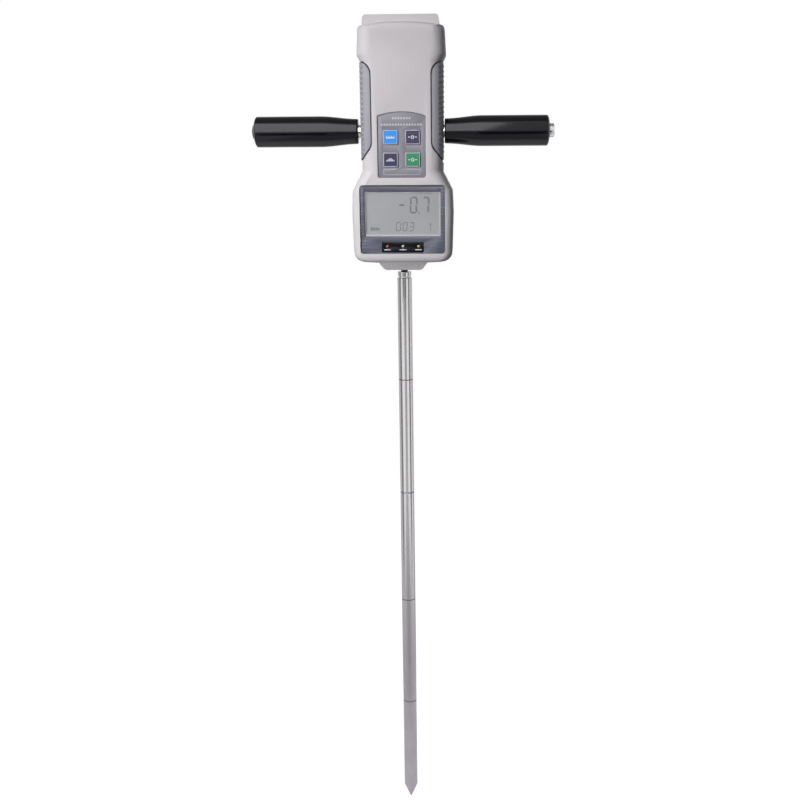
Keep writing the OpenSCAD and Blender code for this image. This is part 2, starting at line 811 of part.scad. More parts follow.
module front_shell() {
  color("gainsboro") difference() {
    union() {
      case_half(face_y, parting_y);
      for (p = case_screw_places) translate([p[0], 0, p[1]]) pin_y(p[2] - weld, parting_y, case_boss_d);
      for (p = board_screw_places) translate([p[0], 0, p[1]]) pin_y(p[2] - weld, board_y, board_pillar_d);
    }
    slab(bezel_corners(seat_fit), face_y - over, bezel_seat_y);
    slab(
      box_corners(view_w - 2 * window_ledge, view_z + window_ledge, view_z + view_h - window_ledge, 0),
      face_y, head_inner_y + over
    );
    at_lamps() pin_y(face_y, head_inner_y + over, lamp_d + 2 * lamp_room);
    slab(keypad_corners(seat_fit), face_y - over, keypad_seat_y);
    slab(
      box_corners(keypad_outer_w, keypad_z + keypad_ledge, keypad_z + keypad_h - keypad_ledge, 0),
      face_y, over - hollow_y
    );
    for (side = [-1, 1]) translate([0, 0, handle_z]) {
      scale([side, 1, 1]) pin_x(hollow_x - over, head_w / 2, spindle_shoulder_d + 2 * shoulder_room);
    }
    translate([0, 0, socket_z]) pin_x(hollow_x - over, head_w / 2, socket_d + 2 * thread_fit);
    pin_z(boss_z - over, boss_z + seal_h + seat_fit, seal_d + 2 * seat_fit);
    pin_z(boss_z, hollow_foot_z + over, stud_d + 2 * stud_room);
    for (p = case_screw_places) translate([p[0], 0, p[1]]) {
      pin_y(parting_y - case_screw_bite - weld, parting_y + over, case_screw_d + 2 * thread_fit);
    }
    for (p = board_screw_places) translate([p[0], 0, p[1]]) {
      pin_y(board_y - board_screw_len, board_y + over, board_screw_d + 2 * thread_fit);
    }
  }
}

module rear_shell() {
  color("gainsboro") difference() {
    union() {
      case_half(parting_y, back_y);
      for (p = case_screw_places) translate([p[0], 0, p[1]]) {
        pin_y(parting_y, p[2] == head_inner_y ? back_y - wall + weld : hollow_y + weld, rear_boss_d);
      }
      for (x = [-plate_screw_x, plate_screw_x]) translate([x, 0, handle_z]) {
        pin_y(beam_h / 2, hollow_y + weld, plate_pillar_d);
      }
    }
    slab(box_corners(plate_w + 2 * seat_fit, plate_z - plate_h / 2 - seat_fit,
      plate_z + plate_h / 2 + seat_fit, plate_r + seat_fit), plate_y, back_y + over);
    for (x = [-plate_pitch_x, plate_pitch_x] / 2, z = [-plate_pitch_z, plate_pitch_z] / 2) {
      translate([x, 0, plate_z + z]) pin_y(hollow_y - over, back_y, plate_room_d);
    }
    for (x = [-plate_screw_x, plate_screw_x]) translate([x, 0, handle_z]) {
      pin_y(beam_h / 2 - over, back_y, plate_screw_d + 2 * screw_room);
    }
    for (p = case_screw_places) translate([p[0], 0, p[1]]) {
      pin_y(parting_y - over, back_y, case_screw_d + 2 * screw_room);
      pin_y(case_screw_seat_y, back_y + over, case_screw_head_d + 2 * screw_room);
    }
  }
}

// Outer shape of the pads, sunk on all sides by a depth
module pad_skin(depth) {
  half_y = back_y - pad_sink - depth;
  bar(pad_w / 2 - depth, -half_y, half_y, pad_edge_r - depth, flare_z, body_top_z);
}

module side_pad() {
  rib_z = head_z + pad_foot_h + rib_pitch;
  rib_count = floor((pad_top_h - pad_foot_h - rib_pitch) / rib_pitch);
  difference() {
    union() {
      intersection() {
        slab(pad_corners(-pad_groove_w), face_y, back_y);
        pad_skin(0);
      }
      intersection() {
        slab(pad_corners(0), face_y, back_y);
        pad_skin(pad_groove_depth);
      }
      for (k = [1 : rib_count - 1]) translate([pad_w / 2 + rib_rise - rib_r, 0, rib_z + k * rib_pitch]) {
        pin_y(-rib_len / 2, rib_len / 2, 2 * rib_r);
      }
    }
    pad_core(seat_fit);
    translate([0, 0, handle_z]) pin_x(hollow_x, head_w / 2, spindle_shoulder_d + 4 * shoulder_room);
  }
}

module left_side_pad() {
  color("darkgray") mirror([1, 0, 0]) side_pad();
}

module right_side_pad() {
  color("darkgray") side_pad();
}

module case_screws() {
  color("silver") for (p = case_screw_places) translate([p[0], 0, p[1]]) {
    pin_y(parting_y - case_screw_bite, case_screw_seat_y, case_screw_d);
    difference() {
      pin_y(case_screw_seat_y, case_screw_seat_y + case_screw_head_h, case_screw_head_d);
      translate([0, case_screw_seat_y + case_screw_head_h / 2, 0]) rotate([-90, 0, 0]) {
        cylinder(h = case_screw_head_h, d = case_screw_d, $fn = hex_sides);
      }
    }
  }
}

// Display
module display_bezel() {
  color("dimgray") difference() {
    slab(bezel_corners(0), bezel_y, bezel_seat_y);
    slab(box_corners(view_w, view_z, view_z + view_h, window_r), bezel_y - over, bezel_seat_y + over);
    slab(box_corners(strip_w + 2 * seat_fit, strip_z - seat_fit, strip_z + strip_h + seat_fit, strip_r),
      bezel_y - over, bezel_y + strip_sunk);
    at_lamps() pin_y(bezel_y, bezel_seat_y + over, lamp_d + 2 * lamp_room);
  }
}

module display_window() {
  color("lightcyan", 0.4) slab(
    box_corners(view_w - 2 * seat_fit, view_z + seat_fit, view_z + view_h - seat_fit, window_r),
    bezel_seat_y - window_t, bezel_seat_y
  );
}

module lcd_panel() {
  color("darkseagreen") slab(box_corners(lcd_w, lcd_z, lcd_z + lcd_h, 0), lcd_y, lcd_back_y);
}

module lcd_holder() {
  color("whitesmoke") difference() {
    slab(box_corners(lcd_w, lcd_z, lcd_z + lcd_h, window_r), lcd_back_y, board_y);
    slab(
      box_corners(lcd_w - 2 * holder_bar, lcd_z + holder_bar, lcd_z + lcd_h - holder_bar, window_r),
      lcd_back_y - over, board_y + over
    );
  }
}

module status_strip() {
  color("black") difference() {
    slab(box_corners(strip_w, strip_z, strip_z + strip_h, strip_r),
      bezel_y + strip_sunk - strip_t, bezel_y + strip_sunk);
    at_lamps() pin_y(face_y, bezel_seat_y, lamp_d + 2 * lamp_room);
  }
}

module lamp(x) {
  translate([x, 0, lamp_z]) {
    pin_y(lamp_base_y, board_y, lamp_base_d);
    pin_y(lamp_tip_y + lamp_d / 2, lamp_base_y, lamp_d);
    translate([0, lamp_tip_y + lamp_d / 2, 0]) sphere(d = lamp_d);
  }
}

module red_lamp() {
  color("red") lamp(-lamp_pitch);
}

module white_lamp() {
  color("white") lamp(0);
}

module yellow_lamp() {
  color("gold") lamp(lamp_pitch);
}

// Keypad
module keypad_plate() {
  color("gray") difference() {
    slab(keypad_corners(0), keypad_y, keypad_seat_y);
    at_keys() slab(
      box_corners(key_w + 2 * key_gap, -key_h / 2 - key_gap, key_h / 2 + key_gap, key_r + key_gap),
      keypad_y - over, keypad_seat_y + over
    );
  }
}

module key(x, z) {
  translate([x, 0, z]) {
    slab(box_corners(key_w, -key_h / 2, key_h / 2, key_r), face_y, key_flange_y);
    slab(box_corners(key_w + 2 * key_flange, -key_h / 2 - key_flange, key_h / 2 + key_flange, key_r),
      key_flange_y, key_flange_y + key_flange_t);
    slab(box_corners(key_stem, -key_stem / 2, key_stem / 2, 0),
      key_flange_y + key_flange_t, plunger_y - key_travel - press_gap);
  }
}

module unit_key() {
  color("dodgerblue") key(key_columns[0], key_rows[1]);
}

module zero_key() {
  color("midnightblue") key(key_columns[1], key_rows[1]);
}

module peak_key() {
  color("midnightblue") key(key_columns[0], key_rows[0]);
}

module power_key() {
  color("seagreen") key(key_columns[1], key_rows[0]);
}

module key_switches() {
  color("black") at_keys() {
    slab(box_corners(switch_w, -switch_w / 2, switch_w / 2, 0), board_y - switch_h, board_y);
    pin_y(plunger_y, board_y - switch_h, plunger_d);
  }
}

// Electronics
module main_board() {
  neck = [[board_neck_w / 2, board_neck_z, 0], [board_neck_w / 2, head_z + board_high, 0]];
  side = concat([[board_w / 2, head_z + board_low, 0], [board_w / 2, board_neck_z, 0]], neck);
  color("darkgreen") difference() {
    slab(concat(side, mirrored(side)), board_y, board_back_y);
    for (p = board_screw_places) translate([p[0], 0, p[1]]) {
      pin_y(board_y - over, board_back_y + over, board_screw_d + 2 * screw_room);
    }
  }
}

module board_screws() {
  color("silver") for (p = board_screw_places) translate([p[0], 0, p[1]]) {
    pin_y(board_back_y, board_back_y + board_screw_head_h, board_screw_head_d);
    pin_y(board_y - board_screw_len + weld, board_back_y, board_screw_d);
  }
}

module buzzer() {
  color("black") translate([0, 0, buzzer_z]) pin_y(board_y - buzzer_h, board_y, buzzer_d);
}

module charging_socket() {
  color("black") translate([0, 0, socket_z]) {
    difference() {
      pin_x(socket_x, socket_x + socket_len, socket_d);
      pin_x(socket_x + socket_floor, socket_x + socket_len + over, socket_bore_d);
    }
    pin_x(socket_x, socket_x + socket_len - socket_pin_short, socket_pin_d);
  }
}

module battery_cells() {
  first_x = -(battery_columns - 1) * battery_pitch / 2;
  color("steelblue") for (k = [0 : battery_columns - 1], y = [-battery_pitch, battery_pitch] / 2) {
    translate([first_x + k * battery_pitch, y, battery_z]) cylinder(h = battery_len, d = battery_d);
  }
}

module battery_tray() {
  tray_y = hollow_y - tray_room;
  color("black") {
    translate([-tray_x - tray_t, -tray_y, tray_z]) cube([2 * (tray_x + tray_t), 2 * tray_y, tray_t]);
    for (x = [-tray_x - tray_t, tray_x]) translate([x, -tray_y, tray_z]) {
      cube([tray_t, 2 * tray_y, tray_t + battery_len * tray_rim_share]);
    }
  }
}

// Load path, from the handles down to the probe
module cross_beam() {
  color("silver") difference() {
    translate([-beam_x, -beam_h / 2, beam_z]) cube([2 * beam_x, beam_h, beam_h]);
    translate([0, 0, handle_z]) for (side = [-1, 1]) scale([side, 1, 1]) {
      pin_x(beam_x - spindle_depth - weld, beam_x + over, spindle_d + 2 * thread_fit);
    }
    pin_z(beam_z - over, beam_z + beam_h + over, bolt_d + 2 * screw_room);
    for (x = [-plate_screw_x, plate_screw_x]) translate([x, 0, handle_z]) {
      pin_y(beam_h / 2 - plate_screw_bite - weld, beam_h / 2 + over, plate_screw_d + 2 * thread_fit);
    }
  }
}

module load_cell() {
  slot_len = cell_w - cell_web;
  slot_high = cell_h * cell_slot_share;
  thread_end = cell_thread + cell_thread_room;
  color("lightsteelblue") difference() {
    translate([-cell_w / 2, -cell_t / 2, cell_z]) cube([cell_w, cell_t, cell_h]);
    translate([cell_w / 2 - slot_len, -cell_t, cell_z + slot_high - cell_slot / 2]) {
      cube([slot_len + over, 2 * cell_t, cell_slot]);
    }
    translate([-cell_w / 2 - over, -cell_t, cell_z + cell_h - slot_high - cell_slot / 2]) {
      cube([slot_len + over, 2 * cell_t, cell_slot]);
    }
    for (x = [-cell_w, cell_w] * cell_bore_share) translate([x, 0, cell_z + cell_h / 2]) {
      pin_y(-cell_t, cell_t, cell_bore_d);
    }
    pin_z(cell_z + cell_h - thread_end, cell_z + cell_h + over, bolt_d + 2 * thread_fit);
    pin_z(cell_z - over, cell_z + thread_end, stud_d + 2 * thread_fit);
  }
}

module cell_spacer() {
  color("silver") difference() {
    pin_z(cell_z + cell_h, beam_z, spacer_d);
    pin_z(cell_z, beam_z + over, bolt_d + 2 * screw_room);
  }
}

module cell_bolt() {
  color("silver") {
    pin_z(cell_z + cell_h - cell_thread, beam_z + beam_h, bolt_d);
    hexagon_z(beam_z + beam_h, beam_z + beam_h + bolt_head_h, bolt_head_af);
  }
}

module sensor_lead() {
  bend_x = cell_w / 2 + lead_start;
  color("black") translate([0, 0, lead_z]) {
    pin_x(cell_w / 2, bend_x, lead_d);
    translate([bend_x, -lead_bend_r, 0]) rotate_extrude(angle = 90) {
      translate([lead_bend_r, 0]) circle(d = lead_d);
    }
    translate([bend_x + lead_bend_r, 0, 0]) pin_y(board_back_y, -lead_bend_r, lead_d);
  }
}

module load_stud() {
  color("silver") pin_z(collar_top_z - stud_depth, cell_z + cell_thread, stud_d);
}

module stud_nut() {
  color("silver") difference() {
    hexagon_z(cell_z - nut_h, cell_z, nut_af);
    pin_z(cell_z - nut_h - over, cell_z + over, stud_d + 2 * thread_fit);
  }
}

module stud_seal() {
  color("black") difference() {
    pin_z(boss_z + seat_fit, boss_z + seal_h, seal_d);
    pin_z(boss_z, boss_z + seal_h + over, stud_d + 2 * seal_room);
  }
}

module stand_plate() {
  color("silver") difference() {
    slab(box_corners(plate_w, plate_z - plate_h / 2, plate_z + plate_h / 2, plate_r), plate_y, back_y);
    for (x = [-plate_pitch_x, plate_pitch_x] / 2, z = [-plate_pitch_z, plate_pitch_z] / 2) {
      translate([x, 0, plate_z + z]) pin_y(plate_y - over, back_y + over, plate_hole_d);
    }
    for (x = [-plate_screw_x, plate_screw_x]) translate([x, 0, handle_z]) {
      pin_y(plate_y - over, back_y + over, plate_screw_d + 2 * screw_room);
      pin_y(back_y - plate_screw_head_h, back_y + over, plate_screw_head_d + 2 * screw_room);
    }
  }
}

module plate_screws() {
  color("dimgray") for (x = [-plate_screw_x, plate_screw_x]) translate([x, 0, handle_z]) {
    pin_y(beam_h / 2 - plate_screw_bite, back_y - plate_screw_head_h, plate_screw_d);
    difference() {
      pin_y(back_y - plate_screw_head_h, back_y, plate_screw_head_d);
      translate([0, back_y - plate_screw_head_h / 2, 0]) rotate([-90, 0, 0]) {
        cylinder(h = plate_screw_head_h, d = plate_screw_d, $fn = hex_sides);
      }
    }
  }
}

// Handles
module spindle(x, end_x, end_t) {
  translate([0, 0, handle_z]) {
    pin_x(beam_x - spindle_depth, beam_x, spindle_d);
    pin_x(beam_x, x - handle_play, spindle_shoulder_d);
    pin_x(x - handle_play, end_x, spindle_d);
    pin_x(end_x, end_x + end_t * cap_depth_share - thread_fit, cap_thread_d);
  }
}

module left_spindle() {
  color("silver") mirror([1, 0, 0]) spindle(left_x, left_end_x, plug_t);
}

module right_spindle() {
  color("silver") spindle(right_x, right_end_x, cap_t);
}

// Radius of a handle at a distance s from its inner end
function handle_radius(s) =
  let (
    u = (s / handle_len - handle_swell_shares[0]) / (handle_swell_shares[1] - handle_swell_shares[0]),
    t = max(0, min(1, u))
  )
  (handle_neck_d + (handle_d - handle_neck_d) * t * t * (3 - 2 * t)) / 2;

module handle(x) {
  straight = handle_len - handle_dome;
  bore_r = spindle_d / 2 + handle_fit;
  step = straight / handle_steps;
  foot = [[bore_r, 0, 0], [handle_neck_d / 2, 0, handle_edge_r]];
  side = [for (k = [1 : handle_steps - 1]) [handle_radius(step * k), step * k, 0]];
  end = [
    [handle_d / 2, straight, handle_edge_r],
    [handle_face_d / 2, handle_len, handle_edge_r],
    [bore_r, handle_len, 0]
  ];
  translate([x, 0, handle_z]) rotate([0, 90, 0]) turned(concat(foot, side, end));
}

module left_handle() {
  color("black") mirror([1, 0, 0]) handle(left_x);
}

module right_handle() {
  color("black") handle(right_x);
}

// Turned end piece with a threaded hole for the spindle, from its corners and its thickness
module end_piece(corners, end_x, end_t) {
  translate([0, 0, handle_z]) difference() {
    translate([end_x, 0, 0]) rotate([0, 90, 0]) turned(corners);
    pin_x(end_x - over, end_x + end_t * cap_depth_share, cap_thread_d + 2 * thread_fit);
  }
}

module left_plug() {
  turns = [for (k = [0 : arc_steps]) 90 * k / arc_steps];
  dome = [for (a = turns) [plug_d / 2 * cos(a), plug_t * sin(a), 0]];
  color("black") mirror([1, 0, 0]) end_piece(concat([[0, 0, 0]], dome), left_end_x, plug_t);
}

module right_cap() {
  corners = [
    [0, 0, 0], [cap_d / 2, 0, 0], [cap_d / 2, cap_t - cap_chamfer, 0],
    [cap_d / 2 - cap_chamfer, cap_t, 0], [0, cap_t, 0]
  ];
  color("silver") end_piece(corners, right_end_x, cap_t);
}

// Probe
function mark_corners(z) = [
  [probe_d / 2, z - mark_w / 2, 0], [probe_d / 2 - mark_depth, z - mark_w / 2, 0],
  [probe_d / 2 - mark_depth, z + mark_w / 2, 0], [probe_d / 2, z + mark_w / 2, 0]
];

module upper_rod() {
  last_mark = floor((rod_top_z - mark_w - rod_chamfer) / mark_pitch);
  foot = [
    [0, joint_z, 0],
    [probe_d / 2 - rod_chamfer, joint_z, 0],
    [probe_d / 2, joint_z + rod_chamfer, 0]
  ];
  marks = [for (k = [joint_marks + 1 : 1 : last_mark]) each mark_corners(k * mark_pitch)];
  neck = [
    [probe_d / 2, rod_top_z - rod_chamfer, 0], [probe_d / 2 - rod_chamfer, rod_top_z, 0],
    [undercut_d / 2, rod_top_z, 0], [undercut_d / 2, collar_z, 0],
    [collar_d / 2, collar_z, rod_chamfer], [collar_d / 2, collar_top_z, rod_chamfer], [0, collar_top_z, 0]
  ];
  color("lightgray") difference() {
    turned(concat(foot, marks, neck));
    pin_z(collar_top_z - stud_depth - weld, collar_top_z + over, stud_d + 2 * thread_fit);
    pin_z(joint_z - over, joint_z + joint_stud_depth + weld, joint_stud_d + 2 * thread_fit);
  }
}

module lower_rod() {
  foot = [[0, cone_len, 0], [probe_d / 2, cone_len, 0]];
  marks = [for (k = [1 : joint_marks - 1]) each mark_corners(k * mark_pitch)];
  end = [
    [probe_d / 2, joint_z - rod_chamfer, 0],
    [probe_d / 2 - rod_chamfer, joint_z, 0],
    [0, joint_z, 0]
  ];
  color("lightgray") difference() {
    turned(concat(foot, marks, end));
    pin_z(joint_z - joint_stud_depth - weld, joint_z + over, joint_stud_d + 2 * thread_fit);
    pin_z(cone_len - over, cone_len + spigot_len + weld, spigot_d + 2 * thread_fit);
  }
}

module joint_stud() {
  color("silver") pin_z(joint_z - joint_stud_depth, joint_z + joint_stud_depth, joint_stud_d);
}

module cone_tip() {
  color("lightgray") {
    cylinder(h = cone_len, d1 = tip_flat_d, d2 = probe_d);
    pin_z(cone_len, cone_len + spigot_len, spigot_d);
  }
}

front_shell();
rear_shell();
left_side_pad();
right_side_pad();
case_screws();
display_bezel();
display_window();
lcd_panel();
lcd_holder();
status_strip();
red_lamp();
white_lamp();
yellow_lamp();
keypad_plate();
unit_key();
zero_key();
peak_key();
power_key();
key_switches();
main_board();
board_screws();
buzzer();
charging_socket();
battery_cells();
battery_tray();
cross_beam();
load_cell();
cell_spacer();
cell_bolt();
sensor_lead();
load_stud();
stud_nut();
stud_seal();
stand_plate();
plate_screws();
left_spindle();
right_spindle();
left_handle();
right_handle();
left_plug();
right_cap();
upper_rod();
lower_rod();
joint_stud();
cone_tip();
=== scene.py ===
import math

import bmesh
import bpy
from mathutils import Matrix, Vector


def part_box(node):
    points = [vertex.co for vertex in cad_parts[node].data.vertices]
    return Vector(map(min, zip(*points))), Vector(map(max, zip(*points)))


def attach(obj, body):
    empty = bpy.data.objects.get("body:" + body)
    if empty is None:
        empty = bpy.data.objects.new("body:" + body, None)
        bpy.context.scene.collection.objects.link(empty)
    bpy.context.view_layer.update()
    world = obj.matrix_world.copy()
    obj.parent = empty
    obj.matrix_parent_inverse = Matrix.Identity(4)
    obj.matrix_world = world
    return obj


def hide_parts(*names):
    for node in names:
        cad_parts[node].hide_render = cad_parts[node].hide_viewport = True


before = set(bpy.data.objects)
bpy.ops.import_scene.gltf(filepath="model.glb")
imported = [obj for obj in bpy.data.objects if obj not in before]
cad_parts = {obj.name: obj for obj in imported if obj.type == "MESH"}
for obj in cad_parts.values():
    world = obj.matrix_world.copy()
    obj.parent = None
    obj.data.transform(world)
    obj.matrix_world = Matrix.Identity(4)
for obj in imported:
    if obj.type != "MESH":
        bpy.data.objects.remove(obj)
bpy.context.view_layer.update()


# Probe: two ground stainless rods screwed end to end on a stud, with a cone screwed in at the point.
# The depth marks are turned grooves darkened as painted shade; the rods grow darker and duller towards the
# point.
mm = 0.001


class Tone:
    """A socket of a finish's nodes, which takes part in sums and feeds further nodes."""

    def __init__(self, tree, socket=None):
        self.tree = tree
        self.socket = socket

    def node(self, kind, settings, sockets, out=0):
        """Adds a node, gives it its settings and then its sockets, and hands on one of its outputs."""
        added = self.tree.nodes.new(kind)
        for name, value in settings.items():
            setattr(added, name, value)
        for name, value in sockets.items():
            if isinstance(value, Tone):
                self.tree.links.new(value.socket, added.inputs[name])
            else:
                added.inputs[name].default_value = value
        return Tone(self.tree, added.outputs[out])

    def maths(self, operation, *values):
        return self.node("ShaderNodeMath", {"operation": operation}, dict(enumerate(values)))

    def __add__(self, other):
        return self.maths("ADD", self, other)

    def __radd__(self, other):
        return self.maths("ADD", other, self)

    def __sub__(self, other):
        return self.maths("SUBTRACT", self, other)

    def __rsub__(self, other):
        return self.maths("SUBTRACT", other, self)

    def __mul__(self, other):
        return self.maths("MULTIPLY", self, other)

    def __rmul__(self, other):
        return self.maths("MULTIPLY", other, self)

    def __lt__(self, other):
        return self.maths("LESS_THAN", self, other)

    def __gt__(self, other):
        return self.maths("GREATER_THAN", self, other)


def new_finish(name, constants):
    """A new finish with these constants on its shader, and the place on the piece that its patterns read."""
    finish = bpy.data.materials.new(name)
    finish.use_nodes = True
    shader = finish.node_tree.nodes["Principled BSDF"]
    for socket, value in constants.items():
        shader.inputs[socket].default_value = value
    return finish, Tone(finish.node_tree).node("ShaderNodeTexCoord", {}, {}, "Object")


def feed(finish, **tones):
    """Leads tones to the shader's sockets of the same names."""
    shader = finish.node_tree.nodes["Principled BSDF"]
    for name, tone in tones.items():
        finish.node_tree.links.new(tone.socket, shader.inputs[name.replace("_", " ")])


def ink(red, green, blue):
    """A colour as a screen shows it, each channel up to 255, made linear for the shader."""
    return [((channel / 255 + 0.055) / 1.055) ** 2.4 for channel in (red, green, blue)] + [1]


def shaded(first, second, share):
    """A colour between two, by the share of the second."""
    return share.node("ShaderNodeMix", {"data_type": "RGBA"}, {0: share, 6: first, 7: second}, 2)


def mottle(place, size, pack=(1, 1, 1), detail=2):
    """Cloudy noise from 0 to 1 in patches of that size, packed closer along an axis by its number."""
    moved = place.node("ShaderNodeMapping", {}, {"Vector": place, "Scale": [p / size for p in pack]})
    return place.node("ShaderNodeTexNoise", {}, {"Vector": moved, "Scale": 1, "Detail": detail}, "Fac")


def along(place, axis):
    """The distance from the origin along one axis."""
    return place.node("ShaderNodeSeparateXYZ", {}, {0: place}, axis)


def fade(value, start, end):
    """A soft step from 0 at start to 1 at end."""
    ends = {"Value": value, "From Min": start, "From Max": end}
    return value.node("ShaderNodeMapRange", {"interpolation_type": "SMOOTHSTEP"}, ends)


def relief(height, depth):
    """The surface normal over hills and hollows of that depth."""
    return height.node("ShaderNodeBump", {}, {"Strength": 1, "Distance": depth, "Height": height})


def dress(finish, *nodes):
    """Gives CAD nodes a finish in place of the record's plain one."""
    for node in nodes:
        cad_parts[node].material_slots[0].material = finish


rod_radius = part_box("lower_rod")[1].x
mark_pitch = 100 * mm
mark_reach = 0.6 * mm
mark_depth = 0.12 * mm
dull_from = 330 * mm
dull_to = 120 * mm
dull_wander = 60 * mm
ground_steel = ink(222, 220, 222)
dull_steel = ink(158, 153, 159)
# The grooves' bottoms are darkened to this grey as painted shade.
mark_painted_shade = ink(112, 108, 112)
rod_finish, rod_place = new_finish("ground_stainless", {"Metallic": 1})
rod_height = along(rod_place, "Z")
flat_place = rod_place.node("ShaderNodeVectorMath", {"operation": "MULTIPLY"}, {0: rod_place, 1: (1, 1, 0)})
rod_reach = rod_place.node("ShaderNodeVectorMath", {"operation": "LENGTH"}, {0: flat_place}, "Value")
from_mark = rod_place.maths("PINGPONG", rod_height, mark_pitch / 2)
grooved = (rod_reach < rod_radius - mark_depth) * (from_mark < mark_reach)
grinding = mottle(rod_place, 0.35 * mm, (0.05, 0.05, 1), 3)
blotch = mottle(rod_place, 9 * mm, (1, 1, 0.4), 4)
# The rod turns darker and duller towards the point, with a wandering edge.
dulled = fade(rod_height + dull_wander * (blotch - 0.5), dull_from, dull_to)
bare_steel = shaded(ground_steel, dull_steel, dulled * (0.75 + 0.4 * blotch))
feed(
    rod_finish,
    Base_Color=shaded(bare_steel, mark_painted_shade, grooved),
    Roughness=0.15 + 0.1 * grinding + 0.18 * dulled + 0.2 * grooved,
    Normal=relief(grinding, 0.002 * mm),
)
dress(rod_finish, "upper_rod", "lower_rod", "cone_tip")


# Threaded stud: a length of M6 steel rod that carries the probe and runs up through the seal into the cell.
# Its thread is rolled; a nut locks it inside the case and a rubber ring seals it where it leaves the boss.
def take(piece):
    """Makes one piece the only one that is selected, and the active one."""
    bpy.ops.object.select_all(action="DESELECT")
    piece.select_set(True)
    bpy.context.view_layer.objects.active = piece
    return piece


def smoothed(piece, crease):
    """Shades a piece smooth up to that angle between its faces, in degrees."""
    take(piece)
    bpy.ops.object.shade_smooth_by_angle(angle=math.radians(crease), keep_sharp_edges=False)
    return piece


def turned(name, rings, sides, crease=35):
    """Turns a solid about Z from rings, each a height and a radius, from one end to the other."""
    height, radius = rings[0]
    bpy.ops.object.select_all(action="DESELECT")
    bpy.ops.mesh.primitive_circle_add(
        vertices=sides, radius=radius, fill_type="NGON", location=(0, 0, height))
    piece = bpy.context.object
    piece.name = name
    bpy.ops.object.transform_apply(location=True, rotation=True, scale=True)
    bpy.ops.object.mode_set(mode="EDIT")
    bpy.ops.mesh.select_all(action="SELECT")
    for next_height, next_radius in rings[1:]:
        rise = {"value": (0, 0, next_height - height)}
        bpy.ops.mesh.extrude_region_move(TRANSFORM_OT_translate=rise)
        grow = next_radius / radius
        bpy.ops.transform.resize(value=(grow, grow, 1), center_override=(0, 0, next_height))
        height, radius = next_height, next_radius
    bpy.ops.mesh.select_all(action="SELECT")
    bpy.ops.mesh.normals_make_consistent(inside=False)
    bpy.ops.object.mode_set(mode="OBJECT")
    return smoothed(piece, crease)


def machined(name, colour, rough, spacing, pack):
    """Bare metal with fine tool lines: their spacing, and how closely they are packed along each axis."""
    finish, place = new_finish(name, {"Metallic": 1})
    lines = mottle(place, spacing, pack, 3)
    cloud = mottle(place, 14 * mm)
    darker = [channel * 0.86 for channel in colour[:3]] + [1]
    feed(
        finish,
        Base_Color=shaded(darker, colour, 0.5 * lines + 0.5 * cloud),
        Roughness=rough - 0.07 + 0.14 * lines,
        Normal=relief(lines, 0.004 * mm),
    )
    return finish


def moulded(name, colour, rough, grain, depth, constants={}):
    """Moulded plastic or rubber: close tones of one colour under a fine grain of that size and depth."""
    finish, place = new_finish(name, constants)
    speck = mottle(place, grain, (1, 1, 1), 1)
    cloud = mottle(place, 26 * mm)
    darker = [channel * 0.92 for channel in colour[:3]] + [1]
    feed(
        finish,
        Base_Color=shaded(darker, colour, 0.55 * speck + 0.6 * cloud),
        Roughness=rough - 0.05 + 0.1 * speck,
        Normal=relief(speck, depth),
    )
    return finish


stud_low, stud_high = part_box("load_stud")
thread_pitch = 1 * mm
thread_cut = 0.32 * mm
thread_turns = int((stud_high.z - stud_low.z) / thread_pitch)
thread_rings = []
for turn in range(thread_turns):
    foot = stud_low.z + turn * thread_pitch
    thread_rings += [(foot, stud_high.x - thread_cut), (foot + thread_pitch / 2, stud_high.x)]
thread_rings.append((stud_high.z, stud_high.x - thread_cut))
stud = turned("threaded_stud", thread_rings, 40, 20)
bright_steel = machined("bright_steel", ink(205, 204, 203), 0.26, 0.5 * mm, (0.2, 0.2, 1))
stud.data.materials.append(bright_steel)
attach(stud, "gauge")
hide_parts("load_stud")
dress(bright_steel, "stud_nut", "joint_stud")
seal_rubber = moulded("seal_rubber", ink(30, 29, 30), 0.62, 0.5 * mm, 0.02 * mm)
dress(seal_rubber, "stud_seal")


# Load cell and cross beam: the cell is sawn and milled from aluminium plate and bends a little under load.
# A bolt and a spacer hang it from the beam, which the handles' spindles screw into.
# Its lead goes to the board.
milled = machined("milled_aluminium", ink(196, 197, 200), 0.3, 0.8 * mm, (1, 1, 0.08))
dress(milled, "load_cell")
beam_finish = machined("drawn_aluminium", ink(186, 187, 190), 0.34, 0.6 * mm, (0.04, 1, 1))
dress(beam_finish, "cross_beam")
dress(bright_steel, "cell_spacer", "cell_bolt")
dress(seal_rubber, "sensor_lead")


# Case: a front and a rear shell, moulded in light warm grey plastic with a fine spark-eroded grain.
# The front shell takes the display and the keypad, and its edges are all a little rounded.
def pick(kind, test):
    """In edit mode, selects the vertices, edges or faces that pass a test."""
    bpy.ops.mesh.select_mode(type=kind)
    bpy.ops.mesh.select_all(action="DESELECT")
    mesh = bmesh.from_edit_mesh(bpy.context.object.data)
    parts = {"VERT": mesh.verts, "EDGE": mesh.edges, "FACE": mesh.faces}[kind]
    for part in parts:
        if test(part):
            part.select_set(True)
    mesh.select_flush_mode()
    bmesh.update_edit_mesh(bpy.context.object.data)


def sharp(edge):
    """True where two faces meet at a clear angle."""
    return len(edge.link_faces) == 2 and edge.calc_face_angle() > math.radians(40)


def middle(edge):
    """The point half way along an edge."""
    return (edge.verts[0].co + edge.verts[1].co) / 2


